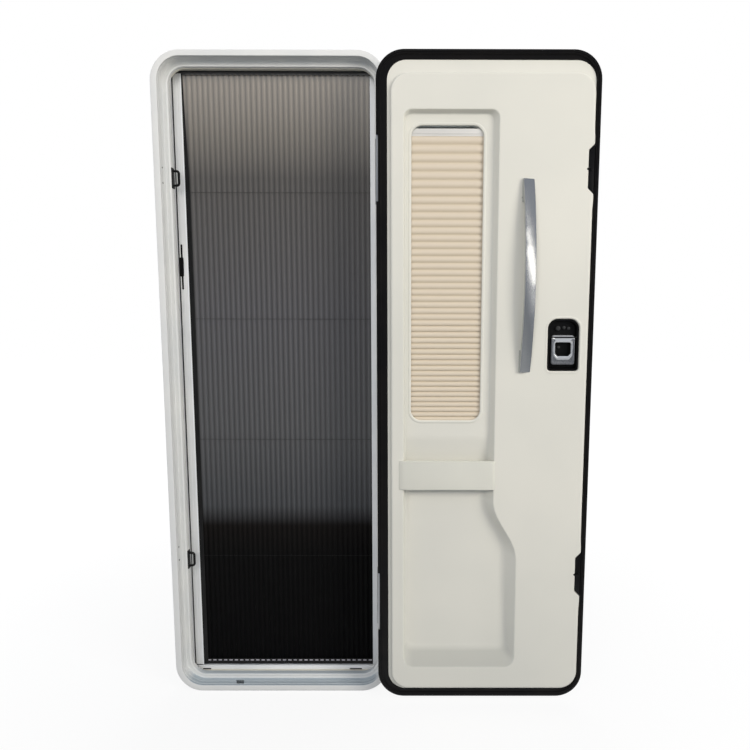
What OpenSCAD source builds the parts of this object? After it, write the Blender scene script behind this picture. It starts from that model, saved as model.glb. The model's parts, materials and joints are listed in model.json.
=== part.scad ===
// Caravan entry door: frame with pleated fly screen and a door leaf opened flat.
// Millimetres. +X right, +Y into the caravan, +Z up. The outside faces -Y.
// The origin lies on the flat back of the outer flange, at the middle of its bottom band.
// The leaf is drawn shut and then turned about the hinge pins to its open place.

/* [Frame] */
// Width over the outer flange
frame_w = 634; // [580:1:760]
// Height over the outer flange
frame_h = 1824; // [1640:1:2000]
// Corner radius of the outer flange
frame_r = 80; // [70:1:100]
// Visible width of the outer flange
flange_w = 18; // [16:0.5:24]
// Thickness of the outer flange
flange_t = 4; // [3:0.5:5]
// Thickness of the frame's walls
frame_wall = 2; // [1.5:0.1:2.4]
// Depth of the seal seat behind the wall's outer face
seat_y = 26; // [26:0.5:30]
// Width of the seal seat
seat_w = 16; // [14:0.5:18]
// Thickness of the caravan wall that the frame clamps
wall_t = 34; // [32:0.5:44]

/* [Leaf] */
// Gap between the leaf and the frame all round
leaf_gap = 6; // [5.5:0.1:7]
// How far the leaf's outer face stands out of the wall when shut
leaf_proud = 9; // [8:0.5:12]
// Thickness of the outer skin
skin_t = 2; // [1:0.1:2.5]
// Depth of the edge profile behind the skin
profile_d = 19; // [17:0.5:19.5]
// Height of the seal above the edge profile
seal_h = 9; // [8:0.5:9]
// Thickness of the inner panel
panel_t = 3; // [2:0.1:3.5]
// Height of the panel's raised face above its rim
panel_rise = 9; // [7:0.5:9.5]
// How far the hinge pins stand in front of the leaf's outer face
pin_out = 10; // [10:0.5:14]

/* [Fly screen] */
// Depth of the screen's tracks
track_d = 22; // [20:0.5:26]
// Clear depth between the seal seat and the screen's tracks
screen_back = 27; // [27:0.5:34]
// Width of the pull bar
bar_w = 24; // [22:0.5:30]
// Depth of the pull bar
bar_d = 16; // [12:0.5:16]

/* [Window] */
// Width of the window opening
window_w = 190; // [170:1:200]
// Height of the window opening
window_h = 783; // [700:1:790]
// Corner radius of the window opening
window_r = 28; // [16:1:36]

/* [Handles] */
// Distance between the grab handle's ends
handle_len = 509; // [440:1:520]
// How far the grab handle stands off the panel
handle_out = 25; // [22:0.5:25]
// Width of the grab handle
handle_w = 31; // [24:0.5:32]
// Angle that the lock paddle swings out
paddle_swing = 20; // [15:1:22]

/* [Hidden] */
$fn = 64;
e = 0.01;
fit = 0.3;
clear = 5;

bottom_z = -flange_w / 2;
top_z = bottom_z + frame_h;
mid_z = (bottom_z + top_z) / 2;
hole_w = frame_w - 2 * flange_w;
seat_s = flange_w + seat_w;
seat_nose = 6;
seat_dip = 1.5;

screen_y = seat_y + screen_back + 2;
screen_end = screen_y + track_d;
inner_t = 2.5;
inner_flange = 8;
inner_r = 50;
lip_over = 7;
clear_s = seat_s - lip_over;
clear_x = frame_w / 2 - clear_s;
clear_bottom = bottom_z + clear_s;
clear_top = top_z - clear_s;
track_h = 13;
track_t = 2;
jamb_t = 1.5;
cassette_w = 22;
bar_y = screen_y + (track_d - bar_d) / 2;
bar_x = -clear_x + fit + jamb_t + clear;
bar_bottom = clear_bottom + track_h + clear;
bar_top = clear_top - track_h - clear;
bar_mouth = 10;
grip_up = 348;
grip_z = mid_z + grip_up;
grip_h = 130;
grip_w = 5;
grip_in = 4;
grip_d = 3;
jamb_z0 = clear_bottom + 2 * fit + track_h;
jamb_z1 = clear_top - 2 * fit - track_h;
mesh_y = screen_y + track_d / 2;
mesh_d = 8;

leaf_w = hole_w - 2 * leaf_gap;
leaf_h = frame_h - 2 * flange_w - 2 * leaf_gap;
leaf_z0 = mid_z - leaf_h / 2;
leaf_z1 = mid_z + leaf_h / 2;
leaf_r = frame_r - flange_w + 12;
skin_y = -leaf_proud;
profile_y = skin_y + skin_t;
rim_y = profile_y + profile_d;
seal_y = rim_y + seal_h;
base_y = rim_y + panel_t;
face_y = base_y + panel_rise;
edge_in = 2;
edge_t = 2;
edge_lip = 12;

pin_x = leaf_w / 2 - 1;
pin_y = skin_y - pin_out;
pin_r = 3;
pin_fit = 0.06;
knuckle_r = 5;
hinge_t = 2;
hinge_h = 170;
hinge_reach = 40;
strap_t = 1.2;
strap_w = 5;
strap_rise = 3;
hinge_foot = 286;
hinge_head = 296;
hinge_zs = [leaf_z0 + hinge_foot, leaf_z1 - hinge_head];

seal_left = 29;
seal_right = 14;
seal_top = 25;
seal_foot = 22;
seal_web = 5;
lobe_w = 13;
rim_r = 50;
face_left = 37;
face_right = 15;
face_top = 57;
face_foot = 26;
face_r = 50;

recess_left = 73;
recess_right = recess_left + window_w + 59;
recess_top = leaf_z1 - 150;
recess_draft_top = 5;
recess_draft_left = 3;
recess_draft_right = 12;
recess_floor = 8;
recess_r = 20;
window_u = recess_left + 20 + window_w / 2;
window_head = 185;
window_z1 = leaf_z1 - window_head;
window_z0 = window_z1 - window_h;
recess_foot = window_z0 - 45;

rail_h = 80;
rail_out = 6;
rail_z1 = recess_foot - 66;
rail_z0 = rail_z1 - rail_h;
bin_right = leaf_w - 197;
bin_foot = leaf_z0 + 93;
bin_floor = -1;
bin_r = 28;
bin_taper = 0.93;
bend_top = rail_z0 - 32;
bend_foot = bend_top - 175;
crease_z = bend_foot + 40;
crease_y = 2;

lock_w = 86;
lock_h = 142;
lock_in = 82;
lock_u = leaf_w - lock_in;
lock_head = 759;
lock_z = leaf_z1 - lock_head;
lock_r = 10;
lock_top_r = 27;
bezel_t = 3;
bezel_back = 2;
paddle_w = 64;
paddle_h = 80;
paddle_t = 4;
paddle_z0 = lock_z - 53;
paddle_z1 = paddle_z0 + paddle_h;
paddle_y = face_y - 3;
hole_in = 10;
hole_h = 37;
axle_z = paddle_z1 - 6;
axle_r = 2;
axle_half = lock_w / 2 - 5 - fit;

handle_t = 6;
handle_foot = 60;
handle_lift = 4;
handle_tilt = 15;
handle_u = (recess_right + lock_u) / 2 - 13;
handle_head = 578.5;
handle_z = leaf_z1 - handle_head;

latch_foot = 370;
latch_head = 299;
latch_zs = [leaf_z0 + latch_foot, leaf_z1 - latch_head];
latch_h = 127;
latch_d = 15;
knob_r = 5;
striker_h = 44;
striker_out = 20;
striker_y = seat_y + 8;
wire_r = 2.5;
wire_bend_r = 7;

blind_y0 = profile_y + 6.5;
blind_y1 = recess_floor - panel_t - 0.8;
shoe_gap = 1;
sleeve_end = wall_t + 6;

// Helpers

// A flat outline in X and Z, thickened from y0 to y1
module slab(y0, y1) {
    translate([0, y1, 0]) rotate([90, 0, 0]) linear_extrude(y1 - y0) children();
}

// A rounded rectangle from its two corners
module rr(x0, z0, x1, z1, r) {
    translate([x0 + r, z0]) square([x1 - x0 - 2 * r, z1 - z0]);
    translate([x0, z0 + r]) square([x1 - x0, z1 - z0 - 2 * r]);
    for (x = [x0 + r, x1 - r], z = [z0 + r, z1 - r]) translate([x, z]) circle(r);
}

// The frame's outline drawn s inside its outer edge
module frame_rr(s) {
    rr(-frame_w / 2 + s, bottom_z + s, frame_w / 2 - s, top_z - s, frame_r - s);
}

// A profile of [inset, y] points swept round a rounded rectangle
module swept_rr(x0, z0, x1, z1, r, points) {
    side = [for (p = points) [p[0], -p[1]]];
    turned = [for (p = points) [r - p[0], -p[1]]];
    half_w = (x1 - x0) / 2 - r;
    half_h = (z1 - z0) / 2 - r;
    translate([(x0 + x1) / 2, 0, (z0 + z1) / 2]) rotate([90, 0, 0]) {
        for (a = [0, 180]) rotate([0, 0, a]) {
            translate([-half_w, -half_h - r, 0]) rotate([90, 0, 90])
                linear_extrude(2 * half_w) polygon(side);
            rotate([0, 0, 90]) translate([-half_h, -half_w - r, 0]) rotate([90, 0, 90])
                linear_extrude(2 * half_h) polygon(side);
            translate([half_w, half_h, 0]) rotate_extrude(angle = 90) polygon(turned);
            translate([-half_w, half_h, 0]) rotate([0, 0, 90])
                rotate_extrude(angle = 90) polygon(turned);
        }
    }
}

// Turns the shut leaf about the pins to its open place
module open_leaf() {
    translate([2 * pin_x, 2 * pin_y, 0]) rotate([0, 0, 180]) children();
}

// Distance u from the hinge edge of the leaf, as x with the leaf shut
function at_u(u) = leaf_w / 2 - u;

// A rounded rectangle on the leaf, from distances to its hinge edge
module leaf_rr(u0, z0, u1, z1, r) {
    rr(at_u(u1), z0, at_u(u0), z1, r);
}

// The leaf's outline with an inset for each edge
module leaf_inset(hinge_in, lock_side_in, top_in, foot_in, r) {
    leaf_rr(hinge_in, leaf_z0 + foot_in, leaf_w - lock_side_in, leaf_z1 - top_in, r);
}

// Frame

module outer_frame() {
    drain_u = -62;
    color("white") difference() {
        swept_rr(-frame_w / 2, bottom_z, frame_w / 2, top_z, frame_r, [
            [0, 0], [0, -flange_t + 1.2], [1.5, -flange_t], [flange_w - 1.5, -flange_t],
            [flange_w, -flange_t + 1.5], [flange_w, seat_y - 0.5], [flange_w + 2, seat_y + seat_dip],
            [seat_s - seat_nose - 2, seat_y + seat_dip], [seat_s - seat_nose, seat_y],
            [seat_s - 1.5, seat_y], [seat_s, seat_y + 1.5], [seat_s, sleeve_end],
            [seat_s - frame_wall, sleeve_end], [seat_s - frame_wall, seat_y + seat_dip + frame_wall],
            [flange_w + 1, seat_y + seat_dip + frame_wall], [flange_w - frame_wall, seat_y],
            [flange_w - frame_wall, 0]]);
        translate([drain_u - 9, 4, bottom_z + flange_w - frame_wall - 1])
            cube([18, 12, frame_wall + 2]);
    }
}

module inner_frame() {
    color("ivory") {
        slab(wall_t, sleeve_end + fit) difference() {
            inner_outline();
            frame_rr(seat_s - frame_wall - fit);
        }
        slab(sleeve_end + fit, sleeve_end + fit + inner_t) difference() {
            inner_outline();
            clear_hole(0);
        }
        slab(sleeve_end + fit + inner_t - e, screen_end) difference() {
            clear_hole(inner_t);
            clear_hole(0);
        }
    }
}

// The inner frame's outline, with tighter corners than the outer flange
module inner_outline() {
    rr(-frame_w / 2 + inner_flange, bottom_z + inner_flange, frame_w / 2 - inner_flange,
        top_z - inner_flange, inner_r);
}

// The square-cornered opening in which the fly screen hangs
module clear_hole(grow) {
    translate([-clear_x - grow, clear_bottom - grow])
        square([2 * (clear_x + grow), clear_top - clear_bottom + 2 * grow]);
}

module screen_channel() {
    difference() {
        cube([2 * (clear_x - fit), track_d, track_h]);
        translate([-1, track_t, track_t])
            cube([2 * clear_x + 2, track_d - 2 * track_t, track_h]);
    }
}

module screen_bottom_track() {
    color("white") translate([-clear_x + fit, screen_y, clear_bottom + fit]) screen_channel();
}

module screen_top_track() {
    color("dimgray") translate([-clear_x + fit, screen_end, clear_top - fit]) rotate([180, 0, 0])
        screen_channel();
}

module screen_lock_jamb() {
    color("white") translate([-clear_x + fit, screen_y, jamb_z0])
        cube([jamb_t, track_d, jamb_z1 - jamb_z0]);
}

module screen_cassette() {
    color("white") translate([clear_x - fit - cassette_w, screen_y, jamb_z0])
        difference() {
            cube([cassette_w, track_d, jamb_z1 - jamb_z0]);
            translate([-1, track_t, -1])
                cube([cassette_w - track_t + 1, track_d - 2 * track_t, frame_h]);
        }
}

// One quarter bend of the striker's wire, in the XZ plane
module wire_bend(x, z, a) {
    translate([x, 0, z]) rotate([90, 0, 0]) rotate([0, 0, a])
        rotate_extrude(angle = 90) translate([wire_bend_r, 0]) circle(wire_r);
}

module striker(z) {
    half = striker_h / 2 - wire_r;
    reach = striker_out - wire_r;
    plate_w = 12;
    color("black") translate([-frame_w / 2 + seat_s + fit, striker_y, z]) {
        translate([0, -plate_w / 2, -striker_h / 2 - 5]) cube([2, plate_w, striker_h + 10]);
        for (side = [-1, 1]) translate([1, 0, side * half]) rotate([0, 90, 0])
            cylinder(r = wire_r, h = reach - wire_bend_r - 1);
        translate([reach, 0, -half + wire_bend_r]) cylinder(r = wire_r, h = 2 * (half - wire_bend_r));
        wire_bend(reach - wire_bend_r, half - wire_bend_r, 0);
        wire_bend(reach - wire_bend_r, -half + wire_bend_r, -90);
    }
}

module hinge_frame_leaf(z) {
    face = -flange_t - hinge_t - fit;
    color("white") translate([0, 0, z - hinge_h / 2]) difference() {
        union() {
            linear_extrude(hinge_h) polygon([
                [hole_w / 2 + 1.5, -flange_t - fit], [frame_w / 2 - 2, -flange_t - fit],
                [frame_w / 2 - 2, face], [hole_w / 2 + 4, face],
                [pin_x + 2, pin_y - 4], [pin_x + 2, pin_y + 2], [hole_w / 2 + 1.5, face]]);
            translate([pin_x, pin_y, 0]) cylinder(r = knuckle_r, h = hinge_h);
        }
        translate([pin_x, pin_y, -1]) cylinder(r = pin_r + pin_fit, h = hinge_h + 2);
        translate([pin_x - knuckle_r - 1, pin_y - knuckle_r - 1, hinge_h / 3 - fit])
            cube([2 * knuckle_r + 5, 2 * knuckle_r + 2, hinge_h / 3 + 2 * fit]);
    }
}

module hinge_pin(z) {
    color("silver") translate([pin_x, pin_y, z - hinge_h / 2 - 1])
        cylinder(r = pin_r, h = hinge_h + 2);
}

// Fly screen

module screen_bar() {
    shoe_d = track_d - 2 * track_t - 2 * shoe_gap;
    shoe_h = clear + track_h - track_t - shoe_gap;
    color("white") difference() {
        union() {
            translate([bar_x, bar_y, bar_bottom]) cube([bar_w, bar_d, bar_top - bar_bottom]);
            for (z = [bar_bottom - shoe_h, bar_top])
                translate([bar_x + 2, mesh_y - shoe_d / 2, z])
                    cube([bar_w - bar_mouth - 2, shoe_d, shoe_h]);
        }
        translate([bar_x + bar_w - bar_mouth, mesh_y - mesh_d / 2 - fit, bar_bottom - 1])
            cube([bar_mouth + 1, mesh_d + 2 * fit, bar_top - bar_bottom + 2]);
        translate([bar_x + grip_in, bar_y - 1, grip_z - grip_h / 2])
            cube([grip_w, grip_d + 1, grip_h]);
    }
}

module fly_screen_mesh() {
    mesh_x = bar_x + bar_w - bar_mouth + 1;
    color("dimgray") translate([mesh_x, mesh_y - mesh_d / 2, bar_bottom])
        cube([clear_x - track_t - 2 * fit - mesh_x, mesh_d, bar_top - bar_bottom]);
}

// Leaf

// The straps of both hinges, seen from the front, with a margin round them
module strap_places(w, grow) {
    for (z = hinge_zs)
        translate([at_u(w), z - hinge_h / 2 - grow]) square([w + 1, hinge_h + 2 * grow]);
}

module outer_skin() {
    color("white") slab(skin_y, profile_y) difference() {
        leaf_inset(0, 0, 0, 0, leaf_r);
        strap_places(edge_in, fit);
    }
}

module edge_profile() {
    color("lightgray") difference() {
        slab(profile_y, rim_y) leaf_inset(edge_in, edge_in, edge_in, edge_in, leaf_r - edge_in);
        slab(profile_y - 1, rim_y + 1) leaf_inset(edge_in + edge_lip, edge_in + edge_lip,
            edge_in + edge_lip, edge_in + edge_lip, leaf_r - edge_in - edge_lip);
        slab(profile_y + edge_t, rim_y - edge_t) leaf_inset(edge_in + edge_t, edge_in + edge_t,
            edge_in + edge_t, edge_in + edge_t, leaf_r - edge_in - edge_t);
    }
}

module door_seal() {
    color("black") difference() {
        union() {
            swept_rr(-leaf_w / 2, leaf_z0, leaf_w / 2, leaf_z1, leaf_r, [
                [0, rim_y], [0, seal_y - 4], [1, seal_y - 1.5], [3, seal_y], [lobe_w - 4.5, seal_y],
                [lobe_w - 2, seal_y - 1.5], [lobe_w, rim_y + seal_web], [lobe_w, rim_y]]);
            slab(rim_y, rim_y + seal_web) difference() {
                leaf_inset(lobe_w - 1, lobe_w - 1, lobe_w - 1, lobe_w - 1, leaf_r - lobe_w + 1);
                leaf_inset(seal_left, seal_right, seal_top, seal_foot, rim_r);
            }
        }
        slab(rim_y - 1, seal_y + 1) strap_places(strap_w + 2 * fit, fit);
    }
}

// Outline of the recess below the window, whose lock side swings out in an S
module bin_outline(grow) {
    steps = 16;
    rise = bend_top - bend_foot;
    run = bin_right - recess_right;
    bend = [for (i = [0 : steps]) [
        at_u(bin_right + grow - run * (1 - cos(180 * i / steps)) / 2),
        bend_foot + rise * i / steps]];
    polygon(concat([
        [at_u(recess_right + grow), recess_foot + 10], [at_u(recess_left - grow), recess_foot + 10],
        [at_u(recess_left - grow), bin_foot + 30], [at_u(bin_right + grow), bin_foot + 30]], bend));
    leaf_rr(recess_left - grow, bin_foot - grow, bin_right + grow, bin_foot + 60 + grow, bin_r + grow);
}

// Outline of the window's recess, which runs on below into the lower recess
module recess_outline(grow) {
    leaf_rr(recess_left - grow, recess_foot - recess_r - 5, recess_right + grow, recess_top + grow,
        recess_r + grow);
}

module window_outline(grow) {
    leaf_rr(window_u - window_w / 2 - grow, window_z0 - grow,
        window_u + window_w / 2 + grow, window_z1 + grow, window_r + grow);
}

// The bezel's outline: wide rounding above, tighter rounding below
module lock_outline(grow) {
    u0 = lock_u - lock_w / 2 - grow;
    u1 = lock_u + lock_w / 2 + grow;
    leaf_rr(u0, lock_z - lock_h / 2 - grow, u1, lock_z + lock_h / 4, lock_r + grow);
    leaf_rr(u0, lock_z - lock_h / 4, u1, lock_z + lock_h / 2 + grow, lock_top_r + grow);
}

// A latch's place in the panel's lock edge, with its ends cut at a slant
module latch_outline(z, grow) {
    half = latch_h / 2 + grow;
    x0 = -leaf_w / 2 + seal_right;
    polygon([[x0 - grow, z - half], [x0 + latch_d + grow, z - half + latch_d],
        [x0 + latch_d + grow, z + half - latch_d], [x0 - grow, z + half]]);
}

// The window's recess, whose walls lean outward from floor to face
module recess_hollow() {
    hull() {
        slab(recess_floor, recess_floor + e) leaf_rr(recess_left + recess_draft_left,
            recess_foot - recess_r - 5, recess_right - recess_draft_right, recess_top - recess_draft_top, recess_r);
        slab(face_y + 1, face_y + 1 + e) recess_outline(0);
    }
}

// The lower recess, which narrows toward its floor and most at the lock side and the foot
module bin_hollow() {
    about_u = recess_left + 41;
    about_z = rail_z1 + 24;
    translate([at_u(about_u), face_y + 1, about_z]) rotate([90, 0, 0])
        linear_extrude(face_y + 1 - bin_floor, scale = bin_taper)
            translate([-at_u(about_u), -about_z]) bin_outline(0);
}

module inner_panel() {
    x0 = at_u(leaf_w - face_right);
    x1 = at_u(face_left);
    z0 = leaf_z0 + face_foot;
    z1 = leaf_z1 - face_top;
    color("cornsilk") {
        difference() {
            union() {
                slab(rim_y, base_y) leaf_inset(seal_left + fit, seal_right + fit,
                    seal_top + fit, seal_foot + fit, rim_r);
                swept_rr(x0, z0, x1, z1, face_r, [
                    [0, rim_y], [0, face_y - 6.5], [0.8, face_y - 3.2], [2.8, face_y - 1],
                    [6.5, face_y], [9, face_y], [9, rim_y]]);
                slab(rim_y, face_y) rr(x0 + 8, z0 + 8, x1 - 8, z1 - 8, face_r - 8);
                slab(recess_floor - panel_t, face_y - 1) recess_outline(panel_t);
                slab(bin_floor - panel_t, face_y - 1) bin_outline(panel_t);
            }
            difference() {
                slab(rim_y - 1, face_y - panel_t) rr(x0 + panel_t, z0 + panel_t,
                    x1 - panel_t, z1 - panel_t, face_r - panel_t);
                slab(bin_floor - 5, face_y + 1) recess_outline(panel_t);
                slab(bin_floor - 5, face_y + 1) bin_outline(panel_t);
            }
            recess_hollow();
            bin_hollow();
            slab(profile_y - 1, face_y + 1) window_outline(0);
            slab(rim_y - 2, face_y + 1) lock_outline(0);
            for (z = latch_zs) slab(rim_y - 2, face_y + 1) latch_outline(z, fit);
        }
        translate([at_u(recess_right) + 2, 0, 0]) rotate([90, 0, 90])
            linear_extrude(recess_right - recess_left - 3) polygon([
                [bin_floor - e, crease_z], [crease_y, rail_z1], [recess_floor, recess_foot],
                [recess_floor, recess_foot + 9], [bin_floor - 1, recess_foot + 9],
                [bin_floor - 1, crease_z]]);
    }
}

module window_pane() {
    pane_lap = 20;
    color("lightblue") slab(profile_y + fit, profile_y + 5) window_outline(pane_lap);
}

module hinge_door_leaf(z) {
    back = skin_y - fit;
    front = back - hinge_t;
    third = hinge_h / 3 - fit;
    edge_x = leaf_w / 2 - fit;
    color("lightgray") {
        translate([0, 0, z - third / 2]) difference() {
            union() {
                linear_extrude(third) polygon([
                    [pin_x - hinge_reach, back], [pin_x - 1, back], [pin_x + knuckle_r - 0.5, pin_y + 1],
                    [pin_x - knuckle_r + 1, pin_y], [pin_x - 9, front], [pin_x - hinge_reach, front]]);
                translate([pin_x, pin_y, 0]) cylinder(r = knuckle_r, h = third);
            }
            translate([pin_x, pin_y, -1]) cylinder(r = pin_r + pin_fit, h = hinge_h);
        }
        translate([pin_x - hinge_reach, front, z - hinge_h / 2])
            cube([hinge_reach - 8, hinge_t, hinge_h]);
        translate([pin_x - 10, back - 1, z - hinge_h / 2])
            cube([edge_x - pin_x + 10, 1, hinge_h]);
        translate([edge_x - strap_t, back - 1, z - hinge_h / 2])
            cube([strap_t, rim_y + fit + strap_rise - back + 1, hinge_h]);
        translate([edge_x - strap_w, rim_y + fit, z - hinge_h / 2])
            cube([strap_w, strap_rise, hinge_h]);
    }
}

module storage_rail() {
    left_wing = 13;
    right_wing = 4;
    step = 17.5;
    seat = face_y + fit;
    front = face_y + rail_out;
    tail_y = face_y - 5;
    u0 = recess_left - left_wing;
    u1 = recess_right + right_wing;
    color("cornsilk") translate([0, 0, rail_z0]) difference() {
        linear_extrude(rail_h) polygon([
            [at_u(u0), seat], [at_u(u0), seat + 0.4], [at_u(u0 + step), front],
            [at_u(u1 - 8), front], [at_u(u1), seat + 0.4], [at_u(u1), seat],
            [at_u(recess_right - 6), seat], [at_u(recess_right - 6), tail_y],
            [at_u(recess_left + 4), tail_y], [at_u(recess_left + 4), seat]]);
        translate([at_u(recess_right - 9), tail_y - 1, panel_t])
            cube([recess_right - recess_left - 16, face_y - tail_y + 4, rail_h - 2 * panel_t]);
    }
}

module grab_handle() {
    arc_out = handle_out - handle_lift;
    arc_r = (pow(handle_len / 2, 2) + pow(arc_out, 2)) / (2 * arc_out);
    half = handle_len / 2;
    color("silver") translate([at_u(handle_u), face_y, handle_z]) intersection() {
        rotate([0, 0, handle_tilt]) translate([-handle_w / 2, 0, 0]) rotate([90, 0, 90])
            linear_extrude(handle_w) difference() {
                intersection() {
                    translate([-20, -half]) square([20 + handle_out, handle_len]);
                    translate([handle_out - arc_r, 0]) circle(arc_r, $fn = 360);
                }
                intersection() {
                    translate([-21, handle_foot - half]) square([50, handle_len - 2 * handle_foot]);
                    translate([handle_out - arc_r, 0]) circle(arc_r - handle_t, $fn = 360);
                }
            }
        translate([-handle_w, 0, -half - 1]) cube([2 * handle_w, handle_out + 20, handle_len + 2]);
    }
}

module lock_bezel() {
    color("black") difference() {
        union() {
            slab(bezel_back, face_y) lock_outline(-fit);
            slab(face_y + fit, face_y + 2) lock_outline(1.5);
            slab(face_y - e, face_y + 1) lock_outline(-fit);
        }
        slab(bezel_back + bezel_t, face_y + 3) lock_outline(-5);
    }
}

module lock_paddle() {
    half = paddle_w / 2;
    hole_z1 = paddle_z1 - 20;
    color("silver") {
        difference() {
            slab(paddle_y - paddle_t / 2, paddle_y + paddle_t / 2)
                leaf_rr(lock_u - half, paddle_z0, lock_u + half, paddle_z1, 8);
            slab(paddle_y - paddle_t, paddle_y + paddle_t) leaf_rr(lock_u - half + hole_in,
                hole_z1 - hole_h, lock_u + half - hole_in, hole_z1, 4);
        }
        translate([at_u(lock_u) - axle_half, paddle_y, axle_z]) rotate([0, 90, 0])
            cylinder(r = axle_r, h = 2 * axle_half);
    }
}

module latch(z) {
    top = face_y - 2;
    color("black") {
        slab(rim_y + fit, top) latch_outline(z, -fit);
        translate([-leaf_w / 2 + seal_right + latch_d / 2, top - e, z]) rotate([-90, 0, 0])
            cylinder(r = knob_r, h = 4);
    }
}

// The square-cornered outline behind the window opening in which the blind runs
module blind_outline(grow) {
    translate([at_u(window_u) - window_w / 2 - grow, window_z0 - grow])
        square([window_w + 2 * grow, window_h + 2 * grow]);
}

module blind_frame() {
    color("ivory") slab(profile_y + 5.5, recess_floor - panel_t - fit) difference() {
        blind_outline(14);
        blind_outline(6);
    }
}

module blind_fabric() {
    fabric_lap = 4;
    fabric_drop = 5.7;
    fabric_short = 25;
    color("bisque") slab(blind_y0 + 0.5, blind_y1 - 0.5)
        translate([at_u(window_u) - window_w / 2 - fabric_lap, window_z0 - fabric_drop])
            square([window_w + 2 * fabric_lap, window_h + fabric_drop - fabric_short]);
}

module blind_rail() {
    rail_lap = 5;
    color("white") slab(blind_y0, blind_y1)
        translate([at_u(window_u) - window_w / 2 - rail_lap, window_z1 - 20])
            square([window_w + 2 * rail_lap, 14]);
}

outer_frame();
inner_frame();
screen_top_track();
screen_bottom_track();
screen_cassette();
screen_lock_jamb();
striker(latch_zs[1]);  // upper_striker
striker(latch_zs[0]);  // lower_striker
hinge_frame_leaf(hinge_zs[1]);  // upper_hinge_frame_leaf
hinge_frame_leaf(hinge_zs[0]);  // lower_hinge_frame_leaf
hinge_pin(hinge_zs[1]);  // upper_hinge_pin
hinge_pin(hinge_zs[0]);  // lower_hinge_pin
screen_bar();
fly_screen_mesh();
open_leaf() outer_skin();
open_leaf() edge_profile();
open_leaf() door_seal();
open_leaf() inner_panel();
open_leaf() window_pane();
open_leaf() hinge_door_leaf(hinge_zs[1]);  // upper_hinge_door_leaf
open_leaf() hinge_door_leaf(hinge_zs[0]);  // lower_hinge_door_leaf
open_leaf() storage_rail();
open_leaf() grab_handle();
open_leaf() lock_bezel();
open_leaf() lock_paddle();
open_leaf() latch(latch_zs[1]);  // upper_latch
open_leaf() latch(latch_zs[0]);  // lower_latch
open_leaf() blind_frame();
open_leaf() blind_fabric();
open_leaf() blind_rail();
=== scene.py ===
"""Looks of a caravan entry door: its frame with a pleated fly screen, and the leaf opened flat.

Lengths are millimetres in the part's own frame, +X right, +Y into the caravan and +Z up, and
turn to metres where a mesh is made. Places on the leaf are given as for the shut leaf: u is the
distance from its hinge edge and y the depth behind the caravan's wall face.
"""
from __future__ import annotations

import json
import logging
import math
from dataclasses import dataclass
from enum import Enum
from typing import Callable, Iterable, Mapping, Sequence

import bmesh
import bpy
from bpy.types import Material, Node, NodeSocket, NodeTree, Object
from mathutils import Matrix, Vector
from mathutils.geometry import delaunay_2d_cdt

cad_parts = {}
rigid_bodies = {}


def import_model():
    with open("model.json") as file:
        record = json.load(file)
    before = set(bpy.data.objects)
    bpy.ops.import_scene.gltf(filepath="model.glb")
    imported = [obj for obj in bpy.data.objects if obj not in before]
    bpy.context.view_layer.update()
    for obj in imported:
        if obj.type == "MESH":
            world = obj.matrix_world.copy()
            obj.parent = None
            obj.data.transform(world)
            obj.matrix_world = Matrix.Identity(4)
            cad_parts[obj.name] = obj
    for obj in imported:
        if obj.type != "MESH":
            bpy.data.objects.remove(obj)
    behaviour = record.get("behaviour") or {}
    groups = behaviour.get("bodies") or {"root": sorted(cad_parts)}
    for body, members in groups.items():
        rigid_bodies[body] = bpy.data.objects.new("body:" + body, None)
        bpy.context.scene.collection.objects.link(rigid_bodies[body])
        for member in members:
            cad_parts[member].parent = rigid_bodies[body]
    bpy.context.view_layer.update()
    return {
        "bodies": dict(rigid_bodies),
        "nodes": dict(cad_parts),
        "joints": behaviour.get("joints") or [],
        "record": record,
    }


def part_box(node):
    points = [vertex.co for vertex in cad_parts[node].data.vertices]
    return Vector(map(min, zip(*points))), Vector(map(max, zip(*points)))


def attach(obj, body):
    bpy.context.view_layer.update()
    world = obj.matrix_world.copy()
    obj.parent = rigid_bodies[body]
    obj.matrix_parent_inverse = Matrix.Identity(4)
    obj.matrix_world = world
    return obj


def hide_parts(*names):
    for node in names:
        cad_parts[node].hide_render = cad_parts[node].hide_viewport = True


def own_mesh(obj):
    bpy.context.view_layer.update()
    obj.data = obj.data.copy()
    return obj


MM = 0.001
# Attribute on pleated cloth: 0 in an inner fold, 1 on an outer one.
FOLD = "fold"
LOG = logging.getLogger("caravan_entry_door")
FRAME: dict = {}

Point2 = tuple[float, float]
Point3 = tuple[float, float, float]
Corner = tuple[float, float, float]
Loop = list[Point2]


class Body(str, Enum):
    """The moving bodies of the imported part."""

    FRAME = "frame"
    SCREEN = "screen"
    LEAF = "leaf"
    BLIND = "blind"
    PADDLE = "paddle"


# Colours and nodes


def linear(hex_colour: str) -> tuple[float, float, float, float]:
    """Turns an sRGB hex colour into linear light.

    Args:
        hex_colour: Six hex digits after a hash sign.

    Returns:
        Red, green, blue and a full alpha.
    """
    shares = [int(hex_colour[i : i + 2], 16) / 255 for i in (1, 3, 5)]
    red, green, blue = (s / 12.92 if s <= 0.04045 else ((s + 0.055) / 1.055) ** 2.4 for s in shares)
    return red, green, blue, 1.0


def add_node(
    tree: NodeTree,
    kind: str,
    settings: dict[str, object] | None = None,
    inputs: dict[str | int, object] | None = None,
) -> Node:
    """Adds a node with its settings, values and links.

    Args:
        tree: The node tree that takes the node.
        kind: The node's type name.
        settings: Properties set on the node itself.
        inputs: A value or an output socket for each named or numbered input.

    Returns:
        The new node.
    """
    node = tree.nodes.new(kind)
    for name, value in (settings or {}).items():
        setattr(node, name, value)
    for key, value in (inputs or {}).items():
        if isinstance(value, NodeSocket):
            tree.links.new(value, node.inputs[key])
        else:
            node.inputs[key].default_value = value
    return node


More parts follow.
